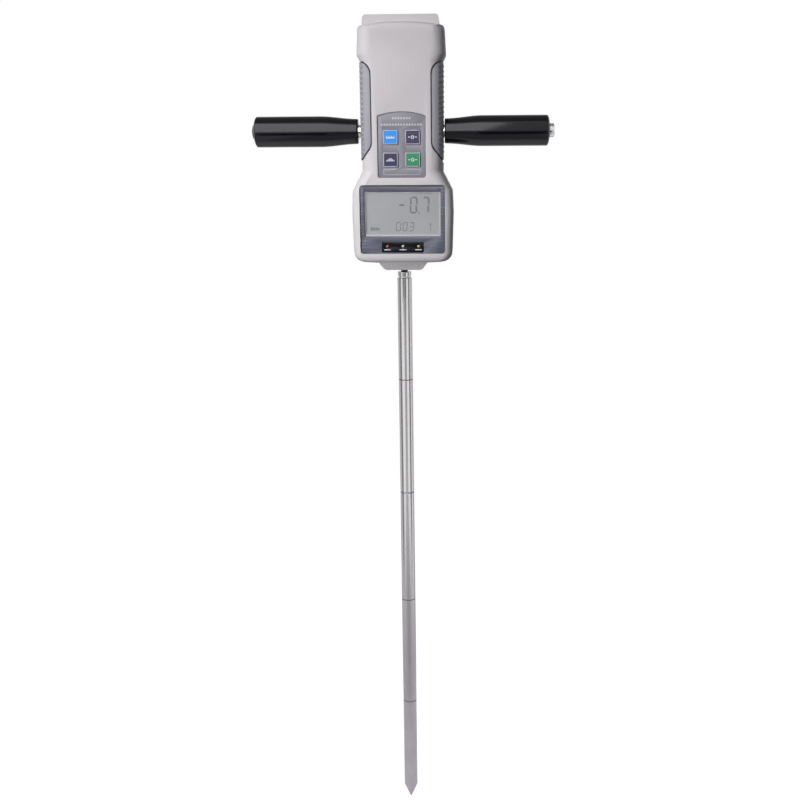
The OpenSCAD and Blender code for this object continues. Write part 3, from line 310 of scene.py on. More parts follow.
def merged(node, name):
    """A copy of a CAD node with its loose triangles merged into one skin of whole faces."""
    piece = bpy.data.objects.new(name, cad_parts[node].data.copy())
    bpy.context.scene.collection.objects.link(piece)
    piece.data.materials.clear()
    take(piece)
    bpy.ops.object.mode_set(mode="EDIT")
    bpy.ops.mesh.select_all(action="SELECT")
    bpy.ops.mesh.remove_doubles(threshold=0.001 * mm)
    bpy.ops.mesh.dissolve_limited(angle_limit=math.radians(0.5))
    bpy.ops.object.mode_set(mode="OBJECT")
    bpy.ops.mesh.customdata_custom_splitnormals_clear()
    return piece


def rounded(piece, rounding, test=sharp, rows=2, finish=-1):
    """Rounds the edges of a piece that pass a test, in a number of rows, with a finish by its number."""
    take(piece)
    bpy.ops.object.mode_set(mode="EDIT")
    pick("EDGE", test)
    bpy.ops.mesh.bevel(offset=rounding, segments=rows, affect="EDGES", clamp_overlap=True, material=finish)
    bpy.ops.object.mode_set(mode="OBJECT")
    return smoothed(piece, 28)


def fit(piece, body, node, slot, *finishes):
    """Finishes a piece and puts it on its body in place of a CAD node."""
    for finish in finishes:
        piece.data.materials.append(finish)
    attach(piece, body)
    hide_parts(node)
    return piece


case_finish = moulded(
    "case_plastic", ink(205, 201, 204), 0.5, 0.45 * mm, 0.012 * mm, {"Specular IOR Level": 0.25})
face_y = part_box("front_shell")[0].y
lip = 0.7 * mm
hair = 0.01 * mm
front = merged("front_shell", "front_shell_moulding")
rounded(front, lip, lambda e: sharp(e) and middle(e).y < face_y + hair, 3)
fit(front, "gauge", "front_shell", "case_plastic", case_finish)
rear = rounded(merged("rear_shell", "rear_shell_moulding"), 0.3 * mm)
fit(rear, "gauge", "rear_shell", "case_plastic", case_finish)


# Side pads: soft grey rubber mouldings that wrap the case's long sides, with small ribs for the fingers.
# Each is glued into a pocket of the shells, and the faces of the groove along its inner edge take a dark
# finish as painted shade.
pad_finish, pad_place = new_finish("pad_rubber", {})
pad_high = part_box("right_side_pad")[1]
rib_pitch = 3.85 * mm
first_rib = 582.25 * mm
rib_reach = 1.2 * mm
from_rib = pad_place.maths("PINGPONG", along(pad_place, "Z") - first_rib, rib_pitch / 2)
pad_side = pad_place.maths("ABSOLUTE", along(pad_place, "X"))
rib_band = fade(pad_side, pad_high.x - 4.2 * mm, pad_high.x - 2.6 * mm)
# The gaps between the ribs are made hollow by the bump and darkened as painted shade.
rib_gap = fade(from_rib, 0.5 * rib_reach, rib_reach) * rib_band
pad_speck = mottle(pad_place, 0.35 * mm, (1, 1, 1), 1)
pad_cloud = mottle(pad_place, 24 * mm)
pad_grey = shaded(ink(142, 140, 148), ink(158, 156, 164), 0.4 * pad_speck + 0.6 * pad_cloud)
feed(
    pad_finish,
    Base_Color=shaded(pad_grey, ink(122, 119, 126), 0.6 * rib_gap),
    Roughness=0.56 + 0.1 * pad_speck,
    Normal=relief(0.05 * pad_speck - rib_gap, 0.35 * mm),
)
groove_shade_finish = moulded("groove_painted_shade", ink(58, 55, 60), 0.6, 0.4 * mm, 0.02 * mm)
skin_x = pad_high.x - 0.45 * mm
skin_y = 19.4 * mm
skin_r = 10.5 * mm
skin_t = 0.3 * mm
skin_close = 0.05 * mm


def under_skin(point):
    """How deep a point lies under the pads' outer skin, a rounded rectangle seen from above."""
    across = abs(point.x) - skin_x + skin_r
    out = abs(point.y) - skin_y + skin_r
    return skin_r - math.hypot(max(across, 0), max(out, 0)) - min(max(across, out), 0)


for side in ("left", "right"):
    pad = merged(side + "_side_pad", side + "_pad_moulding")
    fit(pad, "gauge", side + "_side_pad", "pad_rubber", pad_finish, groove_shade_finish)
    # Faces deeper than the skin, inside the groove, take the dark finish as painted shade.
    for face in pad.data.polygons:
        face.material_index = 1 if under_skin(face.center) > skin_t else 0
    rounded(pad, 0.15 * mm, lambda e: sharp(e) and under_skin(middle(e)) < skin_close, 2, 0)


# Case screws: zinc-plated screws, put in from the back, that hold the rear shell to the front one.
# The board's screws have the same plating.
zinc = machined("zinc_plate", ink(186, 186, 180), 0.3, 0.3 * mm, (1, 0.1, 1))
dress(zinc, "case_screws", "board_screws")


# Electronics: a green board on pillars with key switches and a buzzer, and batteries in a tray above it.
# The charging socket is black with a bright pin, and the display's frame is white.
board_finish, board_place = new_finish("solder_mask", {})
track_pitch = 6 * mm
board_face = board_place.node(
    "ShaderNodeMapping", {}, {"Vector": board_place, "Rotation": (math.pi / 2, 0, 0)})
tracks = {"Vector": board_face, "Scale": 1 / track_pitch, "Mortar Size": 0.03, "Mortar Smooth": 0.1}
board_grid = board_place.node("ShaderNodeTexBrick", {"offset": 0.5}, tracks, "Fac")
board_cloud = mottle(board_place, 5 * mm)
mask_green = shaded(ink(22, 74, 44), ink(30, 96, 56), board_cloud)
feed(
    board_finish,
    Base_Color=shaded(mask_green, ink(64, 132, 84), board_grid),
    Roughness=0.3 + 0.12 * board_cloud,
    Normal=relief(board_grid, 0.03 * mm),
)
dress(board_finish, "main_board")
black_plastic = moulded("black_plastic", ink(36, 35, 37), 0.42, 0.5 * mm, 0.01 * mm)
dress(black_plastic, "key_switches", "buzzer", "battery_tray")
white_plastic = moulded("white_plastic", ink(226, 226, 222), 0.42, 0.5 * mm, 0.01 * mm)
dress(white_plastic, "lcd_holder")
sleeve = moulded("battery_sleeve", ink(50, 92, 158), 0.28, 3 * mm, 0.02 * mm)
dress(sleeve, "battery_cells")
socket_finish, socket_place = new_finish("socket_black", {})
socket_low, socket_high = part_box("charging_socket")
pin_reach = 1.2 * mm
socket_middle = (0, -(socket_low.y + socket_high.y) / 2, -(socket_low.z + socket_high.z) / 2)
from_pin = socket_place.node("ShaderNodeMapping", {}, {"Vector": socket_place, "Location": socket_middle})
round_pin = from_pin.node("ShaderNodeVectorMath", {"operation": "MULTIPLY"}, {0: from_pin, 1: (0, 1, 1)})
from_axis = from_pin.node("ShaderNodeVectorMath", {"operation": "LENGTH"}, {0: round_pin}, "Value")
pin_metal = from_axis < pin_reach
socket_speck = mottle(socket_place, 0.4 * mm)
socket_black = shaded(ink(24, 24, 25), ink(38, 37, 38), socket_speck)
feed(
    socket_finish,
    Base_Color=shaded(socket_black, ink(214, 208, 190), pin_metal),
    Metallic=pin_metal,
    Roughness=0.36 + 0.1 * socket_speck - 0.15 * pin_metal,
)
dress(socket_finish, "charging_socket")


# Display: a slate bezel with fine moulded lines lies in the head's recess, with a clear window let into it.
# Behind the window is a blue-grey liquid-crystal panel; its marks are dark segments on the panel's face.
bezel_finish, bezel_place = new_finish("bezel_slate", {})
bezel_height = along(bezel_place, "Z")
streak = mottle(bezel_place, 1.5 * mm, (0.03, 0.03, 1), 3)
wide_streak = mottle(bezel_place, 5 * mm, (0.06, 0.06, 1), 2)
streak_share = fade(0.45 * streak + 0.55 * wide_streak, 0.3, 0.7)
rung_pitch = 2.6 * mm
rung_in = 27.4 * mm
from_rung = bezel_place.maths("PINGPONG", bezel_height, rung_pitch / 2)
from_middle = bezel_place.maths("ABSOLUTE", along(bezel_place, "X"))
rung = fade(from_rung, 0.45 * mm, 0.75 * mm) * (from_middle > rung_in)
streaked = shaded(ink(60, 62, 76), ink(110, 113, 128), streak_share)
slate = shaded(streaked, ink(68, 70, 86), 0.7 * rung)
bezel_low, bezel_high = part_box("display_bezel")
# The bezel's top and left margins are darkened as painted shadow from the recess's walls.
upper_painted_shadow = fade(bezel_height, bezel_high.z - 1.7 * mm, bezel_high.z - 1.3 * mm)
left_painted_shadow = fade(along(bezel_place, "X"), bezel_low.x + 1.1 * mm, bezel_low.x + 0.8 * mm)
recess_painted_shadow = bezel_place.maths("MAXIMUM", 0.85 * upper_painted_shadow, 0.7 * left_painted_shadow)
feed(
    bezel_finish,
    Base_Color=shaded(slate, ink(30, 30, 36), recess_painted_shadow),
    Roughness=0.36 + 0.1 * streak,
    Normal=relief(streak, 0.01 * mm),
)
bezel = rounded(merged("display_bezel", "bezel_moulding"), 0.3 * mm)
fit(bezel, "gauge", "display_bezel", "bezel_plastic", bezel_finish)

window_finish, window_place = new_finish("clear_window", {"Alpha": 0.1, "Specular IOR Level": 0.6})
window_haze = mottle(window_place, 12 * mm)
feed(
    window_finish,
    Base_Color=shaded(ink(206, 210, 210), ink(222, 226, 226), window_haze),
    Roughness=0.07 + 0.05 * window_haze,
)
window = rounded(merged("display_window", "window_pane"), 0.15 * mm)
fit(window, "gauge", "display_window", "clear_window", window_finish)

panel_low, panel_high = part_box("lcd_panel")
panel_finish, panel_place = new_finish("lcd_glass", {})
panel_height = along(panel_place, "Z")
panel_glow = fade(panel_height, panel_low.z, panel_high.z)
panel_cloud = mottle(panel_place, 16 * mm)
panel_weave = mottle(panel_place, 0.3 * mm, (1, 1, 1), 0)
panel_grey = shaded(ink(158, 160, 165), ink(161, 160, 164), panel_glow)
feed(
    panel_finish,
    Base_Color=shaded(panel_grey, ink(147, 148, 152), 0.3 * panel_cloud + 0.15 * panel_weave),
    Roughness=0.3 + 0.15 * panel_cloud,
)
dress(panel_finish, "lcd_panel")


def block(name, low, high):
    """A box between two corners, to be shaped further."""
    bpy.ops.object.select_all(action="DESELECT")
    middle = [(a + b) / 2 for a, b in zip(low, high)]
    bpy.ops.mesh.primitive_cube_add(size=1, location=middle, scale=[b - a for a, b in zip(low, high)])
    piece = bpy.context.object
    piece.name = name
    bpy.ops.object.transform_apply(location=True, rotation=True, scale=True)
    return piece


def moved_copy(piece, x, y, z):
    """A copy of a piece with its own mesh, moved by that much."""
    copy = bpy.data.objects.new(piece.name, piece.data.copy())
    bpy.context.scene.collection.objects.link(copy)
    copy.data.transform(Matrix.Translation((x, y, z)))
    return copy


def joined(name, pieces):
    """Several pieces made one."""
    bpy.ops.object.select_all(action="DESELECT")
    for piece in pieces:
        piece.select_set(True)
    bpy.context.view_layer.objects.active = pieces[0]
    bpy.ops.object.join()
    whole = bpy.context.object
    whole.name = name
    return whole


mark_t = 0.03 * mm


def mark(name, x0, z0, x1, z1):
    """A thin mark on the panel's face, from corner to corner."""
    return block(name, (x0, panel_low.y - mark_t, z0), (x1, panel_low.y, z1))


def segment(name, length, stroke, upright):
    """One dark bar of a digit, pointed at both ends, in the middle of the panel's face."""
    across, up = (stroke / 2, length / 2) if upright else (length / 2, stroke / 2)
    bar = mark(name, -across, -up, across, up)
    bpy.ops.object.mode_set(mode="EDIT")
    pick("EDGE", lambda e: abs(e.verts[0].co.y - e.verts[1].co.y) > mark_t / 2)
    bpy.ops.mesh.bevel(offset=stroke * 0.45, offset_type="OFFSET", segments=1, affect="EDGES")
    bpy.ops.object.mode_set(mode="OBJECT")
    return bar


lit_bars = {"-": "g", "0": "abcdef", "3": "abcdg", "7": "abc"}


def digit(sign, left, foot, width, tall, stroke, lean):
    """A seven-bar digit with its lower left corner at left, foot, leaning by that share of its height."""
    gap = stroke * 0.2
    level = segment("digit_bar", width - stroke - gap, stroke, False)
    upright = segment("digit_bar", tall / 2 - stroke / 2 - gap, stroke, True)
    sides = stroke / 2, width - stroke / 2
    rows = stroke / 2, tall / 2, tall - stroke / 2
    quarters = tall / 4 + stroke / 4, tall * 3 / 4 - stroke / 4
    places = {
        "a": (level, width / 2, rows[2]),
        "b": (upright, sides[1], quarters[1]),
        "c": (upright, sides[1], quarters[0]),
        "d": (level, width / 2, rows[0]),
        "e": (upright, sides[0], quarters[0]),
        "f": (upright, sides[0], quarters[1]),
        "g": (level, width / 2, rows[1]),
    }
    bars = []
    for bar in lit_bars[sign]:
        pattern, across, up = places[bar]
        bars.append(moved_copy(pattern, left + across + lean * up, 0, foot + up))
    bpy.data.objects.remove(level)
    bpy.data.objects.remove(upright)
    return bars


lean = 0.06
reading_foot = 538.6 * mm
reading_tall = 13.4 * mm
reading_stroke = 1.5 * mm
reading_signs = (("-", -4.2 * mm, 6.4 * mm), ("0", 5.4 * mm, 6.2 * mm), ("7", 15.2 * mm, 5.8 * mm))
marks = []
for sign, left, width in reading_signs:
    marks += digit(sign, left, reading_foot, width, reading_tall, reading_stroke, lean)
point_left = 12.6 * mm
point_w = 1.2 * mm
marks.append(mark("point", point_left, reading_foot, point_left + point_w, reading_foot + point_w))
count_left = -5.6 * mm
count_foot = 524.8 * mm
count_pitch = 5.3 * mm
count_w = 3.9 * mm
count_tall = 7.1 * mm
count_stroke = 0.75 * mm
for number, sign in enumerate("003"):
    left = count_left + number * count_pitch
    marks += digit(sign, left, count_foot, count_w, count_tall, count_stroke, lean)
arrow_x = 22.2 * mm
arrow_top = 531.6 * mm
shaft_reach = 0.3 * mm
shaft_top = arrow_top - 1.6 * mm
marks.append(mark("arrow_shaft", arrow_x - shaft_reach, count_foot, arrow_x + shaft_reach, shaft_top))
head_reach = 0.9 * mm
head = mark("arrow_head", arrow_x - head_reach, arrow_top - 2.2 * mm, arrow_x + head_reach, arrow_top)
bpy.ops.object.mode_set(mode="EDIT")
pick("VERT", lambda v: v.co.z > arrow_top - 1 * mm)
bpy.ops.transform.resize(value=(0.1, 1, 1), center_override=(arrow_x, panel_low.y, arrow_top))
bpy.ops.object.mode_set(mode="OBJECT")
marks.append(head)
cell_left = -25.6 * mm
bar_pitch = 2.2 * mm
bar_w = 1.7 * mm
bar_low = count_foot + 0.5 * mm
bar_high = count_foot + 3 * mm
for number in range(3):
    left = cell_left + number * bar_pitch
    marks.append(mark("charge_bar", left, bar_low, left + bar_w, bar_high))
end_low = count_foot + 1.1 * mm
end_high = count_foot + 2.4 * mm
marks.append(mark("charge_end", cell_left + 6.6 * mm, end_low, cell_left + 7.4 * mm, end_high))


def ink_finish(name, dark, light, spot, rough):
    """Flat ink in tones between two, in spots of that size."""
    finish, place = new_finish(name, {})
    wear = mottle(place, spot)
    feed(finish, Base_Color=shaded(dark, light, wear), Roughness=rough + 0.1 * wear)
    return finish


def printed(name, marks, finish):
    """Joins marks into one print that rides on the gauge."""
    whole = joined(name, marks)
    whole.data.materials.clear()
    whole.data.materials.append(finish)
    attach(whole, "gauge")


mark_finish = ink_finish("lcd_mark", ink(80, 84, 82), ink(98, 102, 99), 2 * mm, 0.4)
printed("display_marks", marks, mark_finish)


# Status strip: a black plastic strip clipped into the bezel, with three small lamps in a row.
# The lamps are tinted epoxy domes, and a short pale rule is printed below each.
strip = rounded(merged("status_strip", "strip_moulding"), 0.12 * mm)
strip_black = moulded(
    "strip_black", ink(13, 14, 20), 0.34, 0.4 * mm, 0.006 * mm, {"Specular IOR Level": 0.15})
fit(strip, "gauge", "status_strip", "black_plastic", strip_black)
strip_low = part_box("status_strip")[0]
lens_rings = (
    (0, 1.9), (1.2, 1.9), (1.25, 1.45), (3.2, 1.45),
    (3.6, 1.36), (3.9, 1.1), (4.08, 0.72), (4.15, 0.2),
)
lens_colours = {
    "red_lamp": (ink(150, 62, 70), ink(206, 120, 120)),
    "white_lamp": (ink(176, 178, 172), ink(230, 230, 224)),
    "yellow_lamp": (ink(150, 156, 60), ink(226, 226, 140)),
}
rule_reach = 2.6 * mm
rule_h = 0.7 * mm
rule_z = strip_low.z + 1.9 * mm
rules = []
for lamp, (deep, pale) in lens_colours.items():
    lamp_low, lamp_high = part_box(lamp)
    lamp_x = (lamp_low.x + lamp_high.x) / 2
    lamp_z = (lamp_low.z + lamp_high.z) / 2
    lens_scale = (lamp_high.y - lamp_low.y) / lens_rings[-1][0]
    lens_radius = (lamp_high.x - lamp_low.x) / 2 / lens_rings[0][1]
    lens = turned(lamp + "_lens", [(h * lens_scale, r * lens_radius) for h, r in lens_rings], 40, 50)
    lens_seat = Matrix.Translation((lamp_x, lamp_high.y, lamp_z))
    lens.data.transform(lens_seat @ Matrix.Rotation(math.pi / 2, 4, "X"))
    lens_finish, lens_place = new_finish(lamp + "_epoxy", {"Coat Weight": 0.6, "Coat Roughness": 0.06})
    lens_cloud = mottle(lens_place, 1.2 * mm)
    feed(lens_finish, Base_Color=shaded(deep, pale, lens_cloud), Roughness=0.16 + 0.1 * lens_cloud)
    fit(lens, "gauge", lamp, lamp.split("_")[0] + "_lens", lens_finish)
    rule_low = (lamp_x - rule_reach, strip_low.y - mark_t, rule_z)
    rules.append(block("rule", rule_low, (lamp_x + rule_reach, strip_low.y, rule_z + rule_h)))
print_white = ink_finish("print_white", ink(196, 196, 200), ink(236, 236, 238), 0.5 * mm, 0.5)
printed("strip_rules", rules, print_white)


# Keypad: a grey plate with an arched top, glued into a recess, with four square holes for the keys.
# Thin pale lines are printed on it: a bracket below the keys and two broken rules above them.
keypad_finish = moulded("keypad_grey", ink(129, 127, 137), 0.44, 0.4 * mm, 0.01 * mm)
keypad = rounded(merged("keypad_plate", "keypad_moulding"), 0.2 * mm)
fit(keypad, "gauge", "keypad_plate", "keypad_grey", keypad_finish)
plate_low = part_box("keypad_plate")[0]
line_w = 0.35 * mm


def patch(x0, x1, z0, z1):
    """A patch of print on the keypad's face."""
    return block("print", (x0, plate_low.y - mark_t, z0), (x1, plate_low.y, z1))


bracket_foot = plate_low.z + 2.2 * mm
bracket_top = plate_low.z + 6.6 * mm
bracket_reach = 14.4 * mm
bracket_gap = 4 * mm
prints = [
    patch(-bracket_reach, bracket_reach, bracket_foot, bracket_foot + line_w),
    patch(-bracket_reach, -bracket_reach + line_w, bracket_foot, bracket_top),
    patch(bracket_reach - line_w, bracket_reach, bracket_foot, bracket_top),
    patch(-bracket_reach, -bracket_gap, bracket_top - line_w, bracket_top),
    patch(bracket_gap, bracket_reach, bracket_top - line_w, bracket_top),
]
dash = 1.5 * mm
dash_pitch = dash * 1.45
for row_z, dashes in ((606.4 * mm, 15), (611.2 * mm, 7)):
    for number in range(dashes):
        dash_x = (number - (dashes - 1) / 2) * dash_pitch
        prints.append(patch(dash_x - dash / 2, dash_x + dash / 2, row_z, row_z + dash))
faint_print = ink_finish("faint_print", ink(166, 164, 172), ink(196, 194, 201), 0.5 * mm, 0.45)
printed("keypad_print", prints, faint_print)


# Keys: square caps moulded in two shots, a pale rim round a coloured field with a white sign on it.
# Each slides in its hole against a switch on the board, held in by a flange under the plate.
key_low, key_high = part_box("unit_key")
rim_w = 0.5 * mm
dish = 0.1 * mm
key_blank = rounded(merged("unit_key", "key_blank"), 0.15 * mm)
take(key_blank)
bpy.ops.object.mode_set(mode="EDIT")
pick("FACE", lambda f: f.normal.y < -0.99 and f.calc_center_median().y < key_low.y + hair)
bpy.ops.mesh.inset(thickness=rim_w)
bpy.ops.mesh.extrude_region_move(TRANSFORM_OT_translate={"value": (0, dish, 0)})
bpy.ops.object.mode_set(mode="OBJECT")
field_y = key_low.y + dish
rim_finish = moulded("key_rim", ink(178, 177, 190), 0.4, 0.4 * mm, 0.008 * mm)
key_x = (key_low.x + key_high.x) / 2
key_z = (key_low.z + key_high.z) / 2


def sign_bar(x0, z0, x1, z1):
    """A bar of a sign, from corner to corner about the key's middle, in millimetres."""
    low = (key_x + x0 * mm, field_y - mark_t, key_z + z0 * mm)
    return block("sign", low, (key_x + x1 * mm, field_y, key_z + z1 * mm))


def sign_ring(radius, stroke, gap):
    """A ring of a sign with a gap at its top, by radius and stroke in millimetres."""
    bpy.ops.object.select_all(action="DESELECT")
    bpy.ops.mesh.primitive_circle_add(
        vertices=48, radius=radius * mm, location=(key_x, field_y, key_z), rotation=(math.pi / 2, 0, 0))
    ring = bpy.context.object
    bpy.ops.object.transform_apply(location=True, rotation=True, scale=True)
    bpy.ops.object.mode_set(mode="EDIT")
    half_gap = gap / 2 * mm
    pick("EDGE", lambda e: abs(middle(e).x - key_x) < half_gap and e.verts[0].co.z > key_z)
    bpy.ops.mesh.delete(type="EDGE")
    bpy.ops.mesh.select_all(action="SELECT")
    bpy.ops.mesh.extrude_region_move(TRANSFORM_OT_translate={"value": (0, 0, 0)})
    inner = (radius - stroke) / radius
    bpy.ops.transform.resize(value=(inner, 1, inner), center_override=(key_x, field_y, key_z))
    bpy.ops.mesh.select_all(action="SELECT")
    bpy.ops.mesh.extrude_region_move(TRANSFORM_OT_translate={"value": (0, -mark_t, 0)})
    bpy.ops.mesh.select_all(action="SELECT")
    bpy.ops.mesh.normals_make_consistent(inside=False)
    bpy.ops.object.mode_set(mode="OBJECT")
    ring.name = "sign"
    return ring


def unit_sign():
    ticks = [sign_bar(-3.3, -1, 3.3, -0.5)]
    for number in range(7):
        tick_x = -3.3 + number
        ticks.append(sign_bar(tick_x, -0.5, tick_x + 0.6, 0.3 if number % 2 else 1))
    return ticks


def zero_sign():
    return [sign_ring(1.3, 0.6, 0), sign_bar(-3.4, -0.35, -1.9, 0.35), sign_bar(1.9, -0.35, 3.4, 0.35)]


def peak_sign():
    steps = [sign_bar(-3.3, -1.1, 3.3, -0.7)]
    for number, rise in enumerate((0.4, 1, 1.8, 1.8, 1, 0.4)):
        step_x = -3.2 + number * 1.12
        steps.append(sign_bar(step_x, -0.6, step_x + 0.8, -0.6 + rise))
    return steps


def power_sign():
    stroke = sign_bar(-0.3, 0.1, 0.3, 1.6)
    rules = [sign_bar(-3.4, -0.35, -2, 0.35), sign_bar(2, -0.35, 3.4, 0.35)]
    return [sign_ring(1.4, 0.55, 1.6), stroke] + rules


key_fields = {
    "unit_key": ("key_light_blue", ink(26, 140, 228), unit_sign),
    "zero_key": ("key_navy", ink(29, 22, 62), zero_sign),
    "peak_key": ("key_navy", ink(29, 22, 62), peak_sign),
    "power_key": ("key_green", ink(28, 128, 86), power_sign),
}
for key, (slot, colour, make_sign) in key_fields.items():
    this_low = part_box(key)[0]
    field_finish = moulded(key + "_field", colour, 0.36, 0.4 * mm, 0.006 * mm)
    cap = moved_copy(key_blank, 0, 0, 0)
    for finish in (rim_finish, field_finish, print_white):
        cap.data.materials.append(finish)
    for face in cap.data.polygons:
        on_field = face.normal.y < -0.99 and abs(face.center.y - field_y) < hair
        face.material_index = 1 if on_field else 0
    signs = make_sign()
    for piece in signs:
        for finish in (rim_finish, field_finish, print_white):
            piece.data.materials.append(finish)
        for face in piece.data.polygons:
            face.material_index = 2
    cap = smoothed(joined(key + "_cap", [cap] + signs), 28)
    cap.data.transform(Matrix.Translation((this_low.x - key_low.x, 0, this_low.z - key_low.z)))
    fit(cap, key, key, slot)
bpy.data.objects.remove(key_blank)


# Stand plate: an anodised plate let into the back, with four threaded holes for a test stand's bolts.
# Two countersunk zinc screws hold it to the cross beam, so the stand carries the load past the case.
stand_finish = machined("anodised_plate", ink(178, 179, 183), 0.36, 0.5 * mm, (0.05, 1, 1))
stand = rounded(merged("stand_plate", "stand_plate_milled"), 0.25 * mm)
fit(stand, "gauge", "stand_plate", "beam_aluminium", stand_finish)
dress(zinc, "plate_screws")


# Handles: two glossy black mouldings that turn freely on chromed spindles screwed into the cross beam.
# Each swells from a slim neck to a full grip and ends in a rounded face; a chromed cap holds the right one on
# and a black domed plug the left one.
chrome = machined("chrome", ink(222, 222, 224), 0.12, 0.5 * mm, (1, 0.1, 0.1))
dress(chrome, "left_spindle", "right_spindle")
handle_low, handle_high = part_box("right_handle")
handle_len = handle_high.x - handle_low.x
grip_r = (handle_high.z - handle_low.z) / 2
neck_r = 9.8 * mm
face_r = 6.3 * mm
neck_chamfer = 1.2 * mm
swell_len = 30 * mm
end_round = 2.4 * mm
steps = 14
neck_steps = 5
grip_rings = [(0, neck_r - neck_chamfer)]
for step in range(neck_steps):
    turn = math.pi / 2 * (step + 1) / neck_steps
    rise = neck_chamfer * (1 - math.cos(turn))
    grip_rings.append((rise, neck_r - neck_chamfer * (1 - math.sin(turn))))
for step in range(1, steps + 1):
    share = step / steps
    swell = share * share * (3 - 2 * share)
    grip_rings.append((neck_chamfer + (swell_len - neck_chamfer) * share, neck_r + (grip_r - neck_r) * swell))
dome_from = handle_len - end_round
for step in range(steps):
    turn = math.pi / 2 * step / (steps - 1)
    grip_rings.append((dome_from + end_round * math.sin(turn), face_r + (grip_r - face_r) * math.cos(turn)))
handle_z = (handle_low.z + handle_high.z) / 2
handle_black, handle_place = new_finish("glossy_black", {"Specular IOR Level": 0.32})
handle_cloud = mottle(handle_place, 7 * mm)
handle_scuff = mottle(handle_place, 0.8 * mm, (0.3, 1, 1), 3)
feed(
    handle_black,
    Base_Color=shaded(ink(8, 7, 15), ink(13, 11, 22), handle_cloud),
    Roughness=0.1 + 0.05 * handle_scuff + 0.03 * handle_cloud,
    Normal=relief(handle_cloud, 0.01 * mm),
)
grip = turned("grip", grip_rings, 96, 40)
for side, turn in (("left", -math.pi / 2), ("right", math.pi / 2)):
    low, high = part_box(side + "_handle")
    inner_x = high.x if side == "left" else low.x
    this_grip = moved_copy(grip, 0, 0, 0)
    this_grip.name = side + "_grip"
    this_grip.data.transform(Matrix.Translation((inner_x, 0, handle_z)) @ Matrix.Rotation(turn, 4, "Y"))
    fit(this_grip, side + "_handle", side + "_handle", "handle_black", handle_black)
bpy.data.objects.remove(grip)
cap_low, cap_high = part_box("right_cap")
cap_t = cap_high.x - cap_low.x
cap_r = (cap_high.z - cap_low.z) / 2
cap_shares = (
    (0, 0.95), (0.06, 1), (0.3, 1), (0.34, 0.93), (0.4, 0.93), (0.44, 1), (0.7, 1),
    (0.84, 0.95), (0.95, 0.86), (1, 0.74), (1, 0.34), (0.85, 0.3), (0.85, 0.05),
)
plug_low, plug_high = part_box("left_plug")
plug_t = plug_high.x - plug_low.x
plug_r = (plug_high.z - plug_low.z) / 2
plug_sweep = math.pi / 2 * 0.985
plug_rings = []
for step in range(steps):
    turn = plug_sweep * step / (steps - 1)
    plug_rings.append((plug_t * math.sin(turn), plug_r * math.cos(turn)))
cap_nut = turned("cap_nut", [(h * cap_t, r * cap_r) for h, r in cap_shares], 64, 30)
end_plug = turned("end_plug", plug_rings, 64, 40)
for end_piece, inner_x, turn, node, slot, finish in (
    (cap_nut, cap_low.x, math.pi / 2, "right_cap", "spindle_chrome", chrome),
    (end_plug, plug_high.x, -math.pi / 2, "left_plug", "handle_black", handle_black),
):
    end_piece.data.transform(Matrix.Translation((inner_x, 0, handle_z)) @ Matrix.Rotation(turn, 4, "Y"))
    fit(end_piece, "gauge", node, slot, finish)


# Studio: a pale floor and a white surround, with a soft box at the camera's left that lights the part.
# A wide box above and grey and black cards, all seen only in reflections, give the rod and the
# handles their bands.
floor_side = 12
floor_grey = (0.32, 0.32, 0.32, 1)
floor_glow = 0.965
surround_grey = (0.11, 0.11, 0.12, 1)
white = (1, 1, 1, 1)
bpy.ops.object.select_all(action="DESELECT")
bpy.ops.mesh.primitive_plane_add(size=floor_side, location=(0, 0, 0))
floor = bpy.context.object
floor.name = "floor"
floor_finish = bpy.data.materials.new("floor_white")
floor_finish.use_nodes = True
floor_tree = floor_finish.node_tree
floor_tree.nodes.remove(floor_tree.nodes["Principled BSDF"])


def seen_directly(tree):
    """1 for what the camera, a reflection or a clear piece sees, and 0 for light that is scattered."""
    path = Tone(tree)
    ray = {name: path.node("ShaderNodeLightPath", {}, {}, name) for name in (
        "Is Camera Ray", "Is Glossy Ray", "Is Transmission Ray")}
    first = ray["Is Camera Ray"].maths("MAXIMUM", ray["Is Camera Ray"], ray["Is Glossy Ray"])
    return first.maths("MAXIMUM", first, ray["Is Transmission Ray"])


floor_seen = seen_directly(floor_tree)
lit = floor_seen.node("ShaderNodeBsdfDiffuse", {}, {"Color": floor_grey})
glow = floor_seen.node("ShaderNodeEmission", {}, {"Color": white, "Strength": floor_glow})
both = floor_seen.node("ShaderNodeAddShader", {}, {0: lit, 1: glow})
floor_shader = floor_seen.node("ShaderNodeMixShader", {}, {0: floor_seen, 1: lit, 2: both})
floor_tree.links.new(floor_shader.socket, floor_tree.nodes["Material Output"].inputs["Surface"])
floor.data.materials.append(floor_finish)

world = bpy.data.worlds.new("white_surround")
bpy.context.scene.world = world
world.use_nodes = True
world_tree = world.node_tree
sky = shaded(surround_grey, white, seen_directly(world_tree))
world_tree.links.new(sky.socket, world_tree.nodes["Background"].inputs["Color"])


def soft_box(name, place, target, width, height, power, spread):
    """A rectangular lamp at a place, aimed at a target, that spreads its light over an angle in degrees."""
    lamp = bpy.data.lights.new(name, "AREA")
    lamp.shape = "RECTANGLE"
    lamp.size = width
    lamp.size_y = height
    lamp.energy = power
    lamp.spread = math.radians(spread)
    stand_in = bpy.data.objects.new(name, lamp)
    bpy.context.scene.collection.objects.link(stand_in)
    aim = Vector(place) - Vector(target)
    stand_in.rotation_euler = aim.to_track_quat("Z", "Y").to_euler()
    stand_in.location = place
    stand_in.visible_camera = False
    return stand_in


soft_box("band_box", (-0.44, -0.56, 0.93), (-0.36, 0, 0.48), 1.1, 0.85, 9, 180).visible_diffuse = False
soft_box("key_box", (-0.45, -0.64, 0.8), (0, 0, 0.45), 0.34, 0.34, 1.5, 75).visible_glossy = False


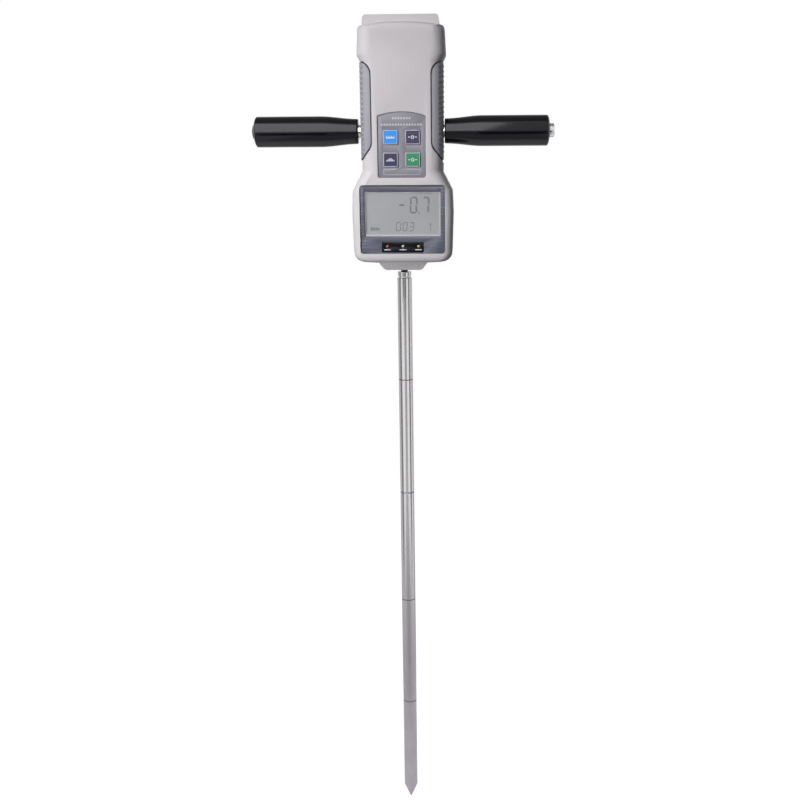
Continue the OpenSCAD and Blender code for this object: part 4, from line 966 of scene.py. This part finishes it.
def card(name, grey, place, width, height, tilt, bearing):
    """A card that only reflections see, upright where its tilt is 90 and turned aside by its bearing."""
    turn = (math.radians(tilt), 0, math.radians(bearing))
    bpy.ops.object.select_all(action="DESELECT")
    bpy.ops.mesh.primitive_plane_add(size=1, location=place, rotation=turn)
    screen = bpy.context.object
    screen.name = name
    screen.scale = (width, height, 1)
    paint = bpy.data.materials.new(name)
    paint.use_nodes = True
    tree = paint.node_tree
    tree.nodes.remove(tree.nodes["Principled BSDF"])
    shade = Tone(tree).node("ShaderNodeEmission", {}, {"Color": (grey, grey, grey, 1), "Strength": 1})
    tree.links.new(shade.socket, tree.nodes["Material Output"].inputs["Surface"])
    screen.data.materials.append(paint)
    screen.visible_camera = False
    screen.visible_diffuse = False
    screen.visible_shadow = False
    screen.visible_transmission = False


card("left_flag", 0.22, (-0.49, -0.12, 0.25), 0.34, 0.5, 90, -76)
card("right_flag", 0.2, (0.56, -0.2, 0.25), 0.3, 0.5, 90, 70)
card("front_flag", 0.42, (0.08, -1, 0.28), 0.62, 0.56, 90, 0)
card("left_grip_flag", 0.03, (-0.16, -0.4, 0.465), 0.2, 0.13, 90, 0)
card("right_grip_flag", 0.03, (0.12, -0.4, 0.465), 0.18, 0.13, 90, 0)
card("back_flag", 0.58, (0, 0.2, 0.25), 3, 0.5, 90, 0)
card("floor_flag", 0.55, (0, -0.6, 0.005), 0.6, 0.78, 0, 0)
card("roof_flag", 0.3, (0, 0.5, 1.5), 3, 1.6, 0, 0)

camera_side = math.radians(3.284)
camera_pan = math.radians(-1.456)
camera_tilt = math.radians(14.108)
camera_roll = math.radians(-0.3875)
camera_out = 857 * mm
camera_height = 596.6 * mm
camera_data = bpy.data.cameras.new("camera")
camera_data.sensor_width = 36
camera_data.lens = 46.843
camera_data.shift_x = -0.0398
camera_data.clip_start = 0.01
camera = bpy.data.objects.new("camera", camera_data)
bpy.context.scene.collection.objects.link(camera)
camera_x = camera_out * math.sin(camera_side)
camera_y = -camera_out * math.cos(camera_side)
camera.matrix_world = (
    Matrix.Translation((camera_x, camera_y, camera_height))
    @ Matrix.Rotation(camera_side + camera_pan, 4, "Z")
    @ Matrix.Rotation(math.pi / 2 - camera_tilt, 4, "X")
    @ Matrix.Rotation(camera_roll, 4, "Z")
)
bpy.context.scene.camera = camera
bpy.context.scene.view_settings.view_transform = "Standard"
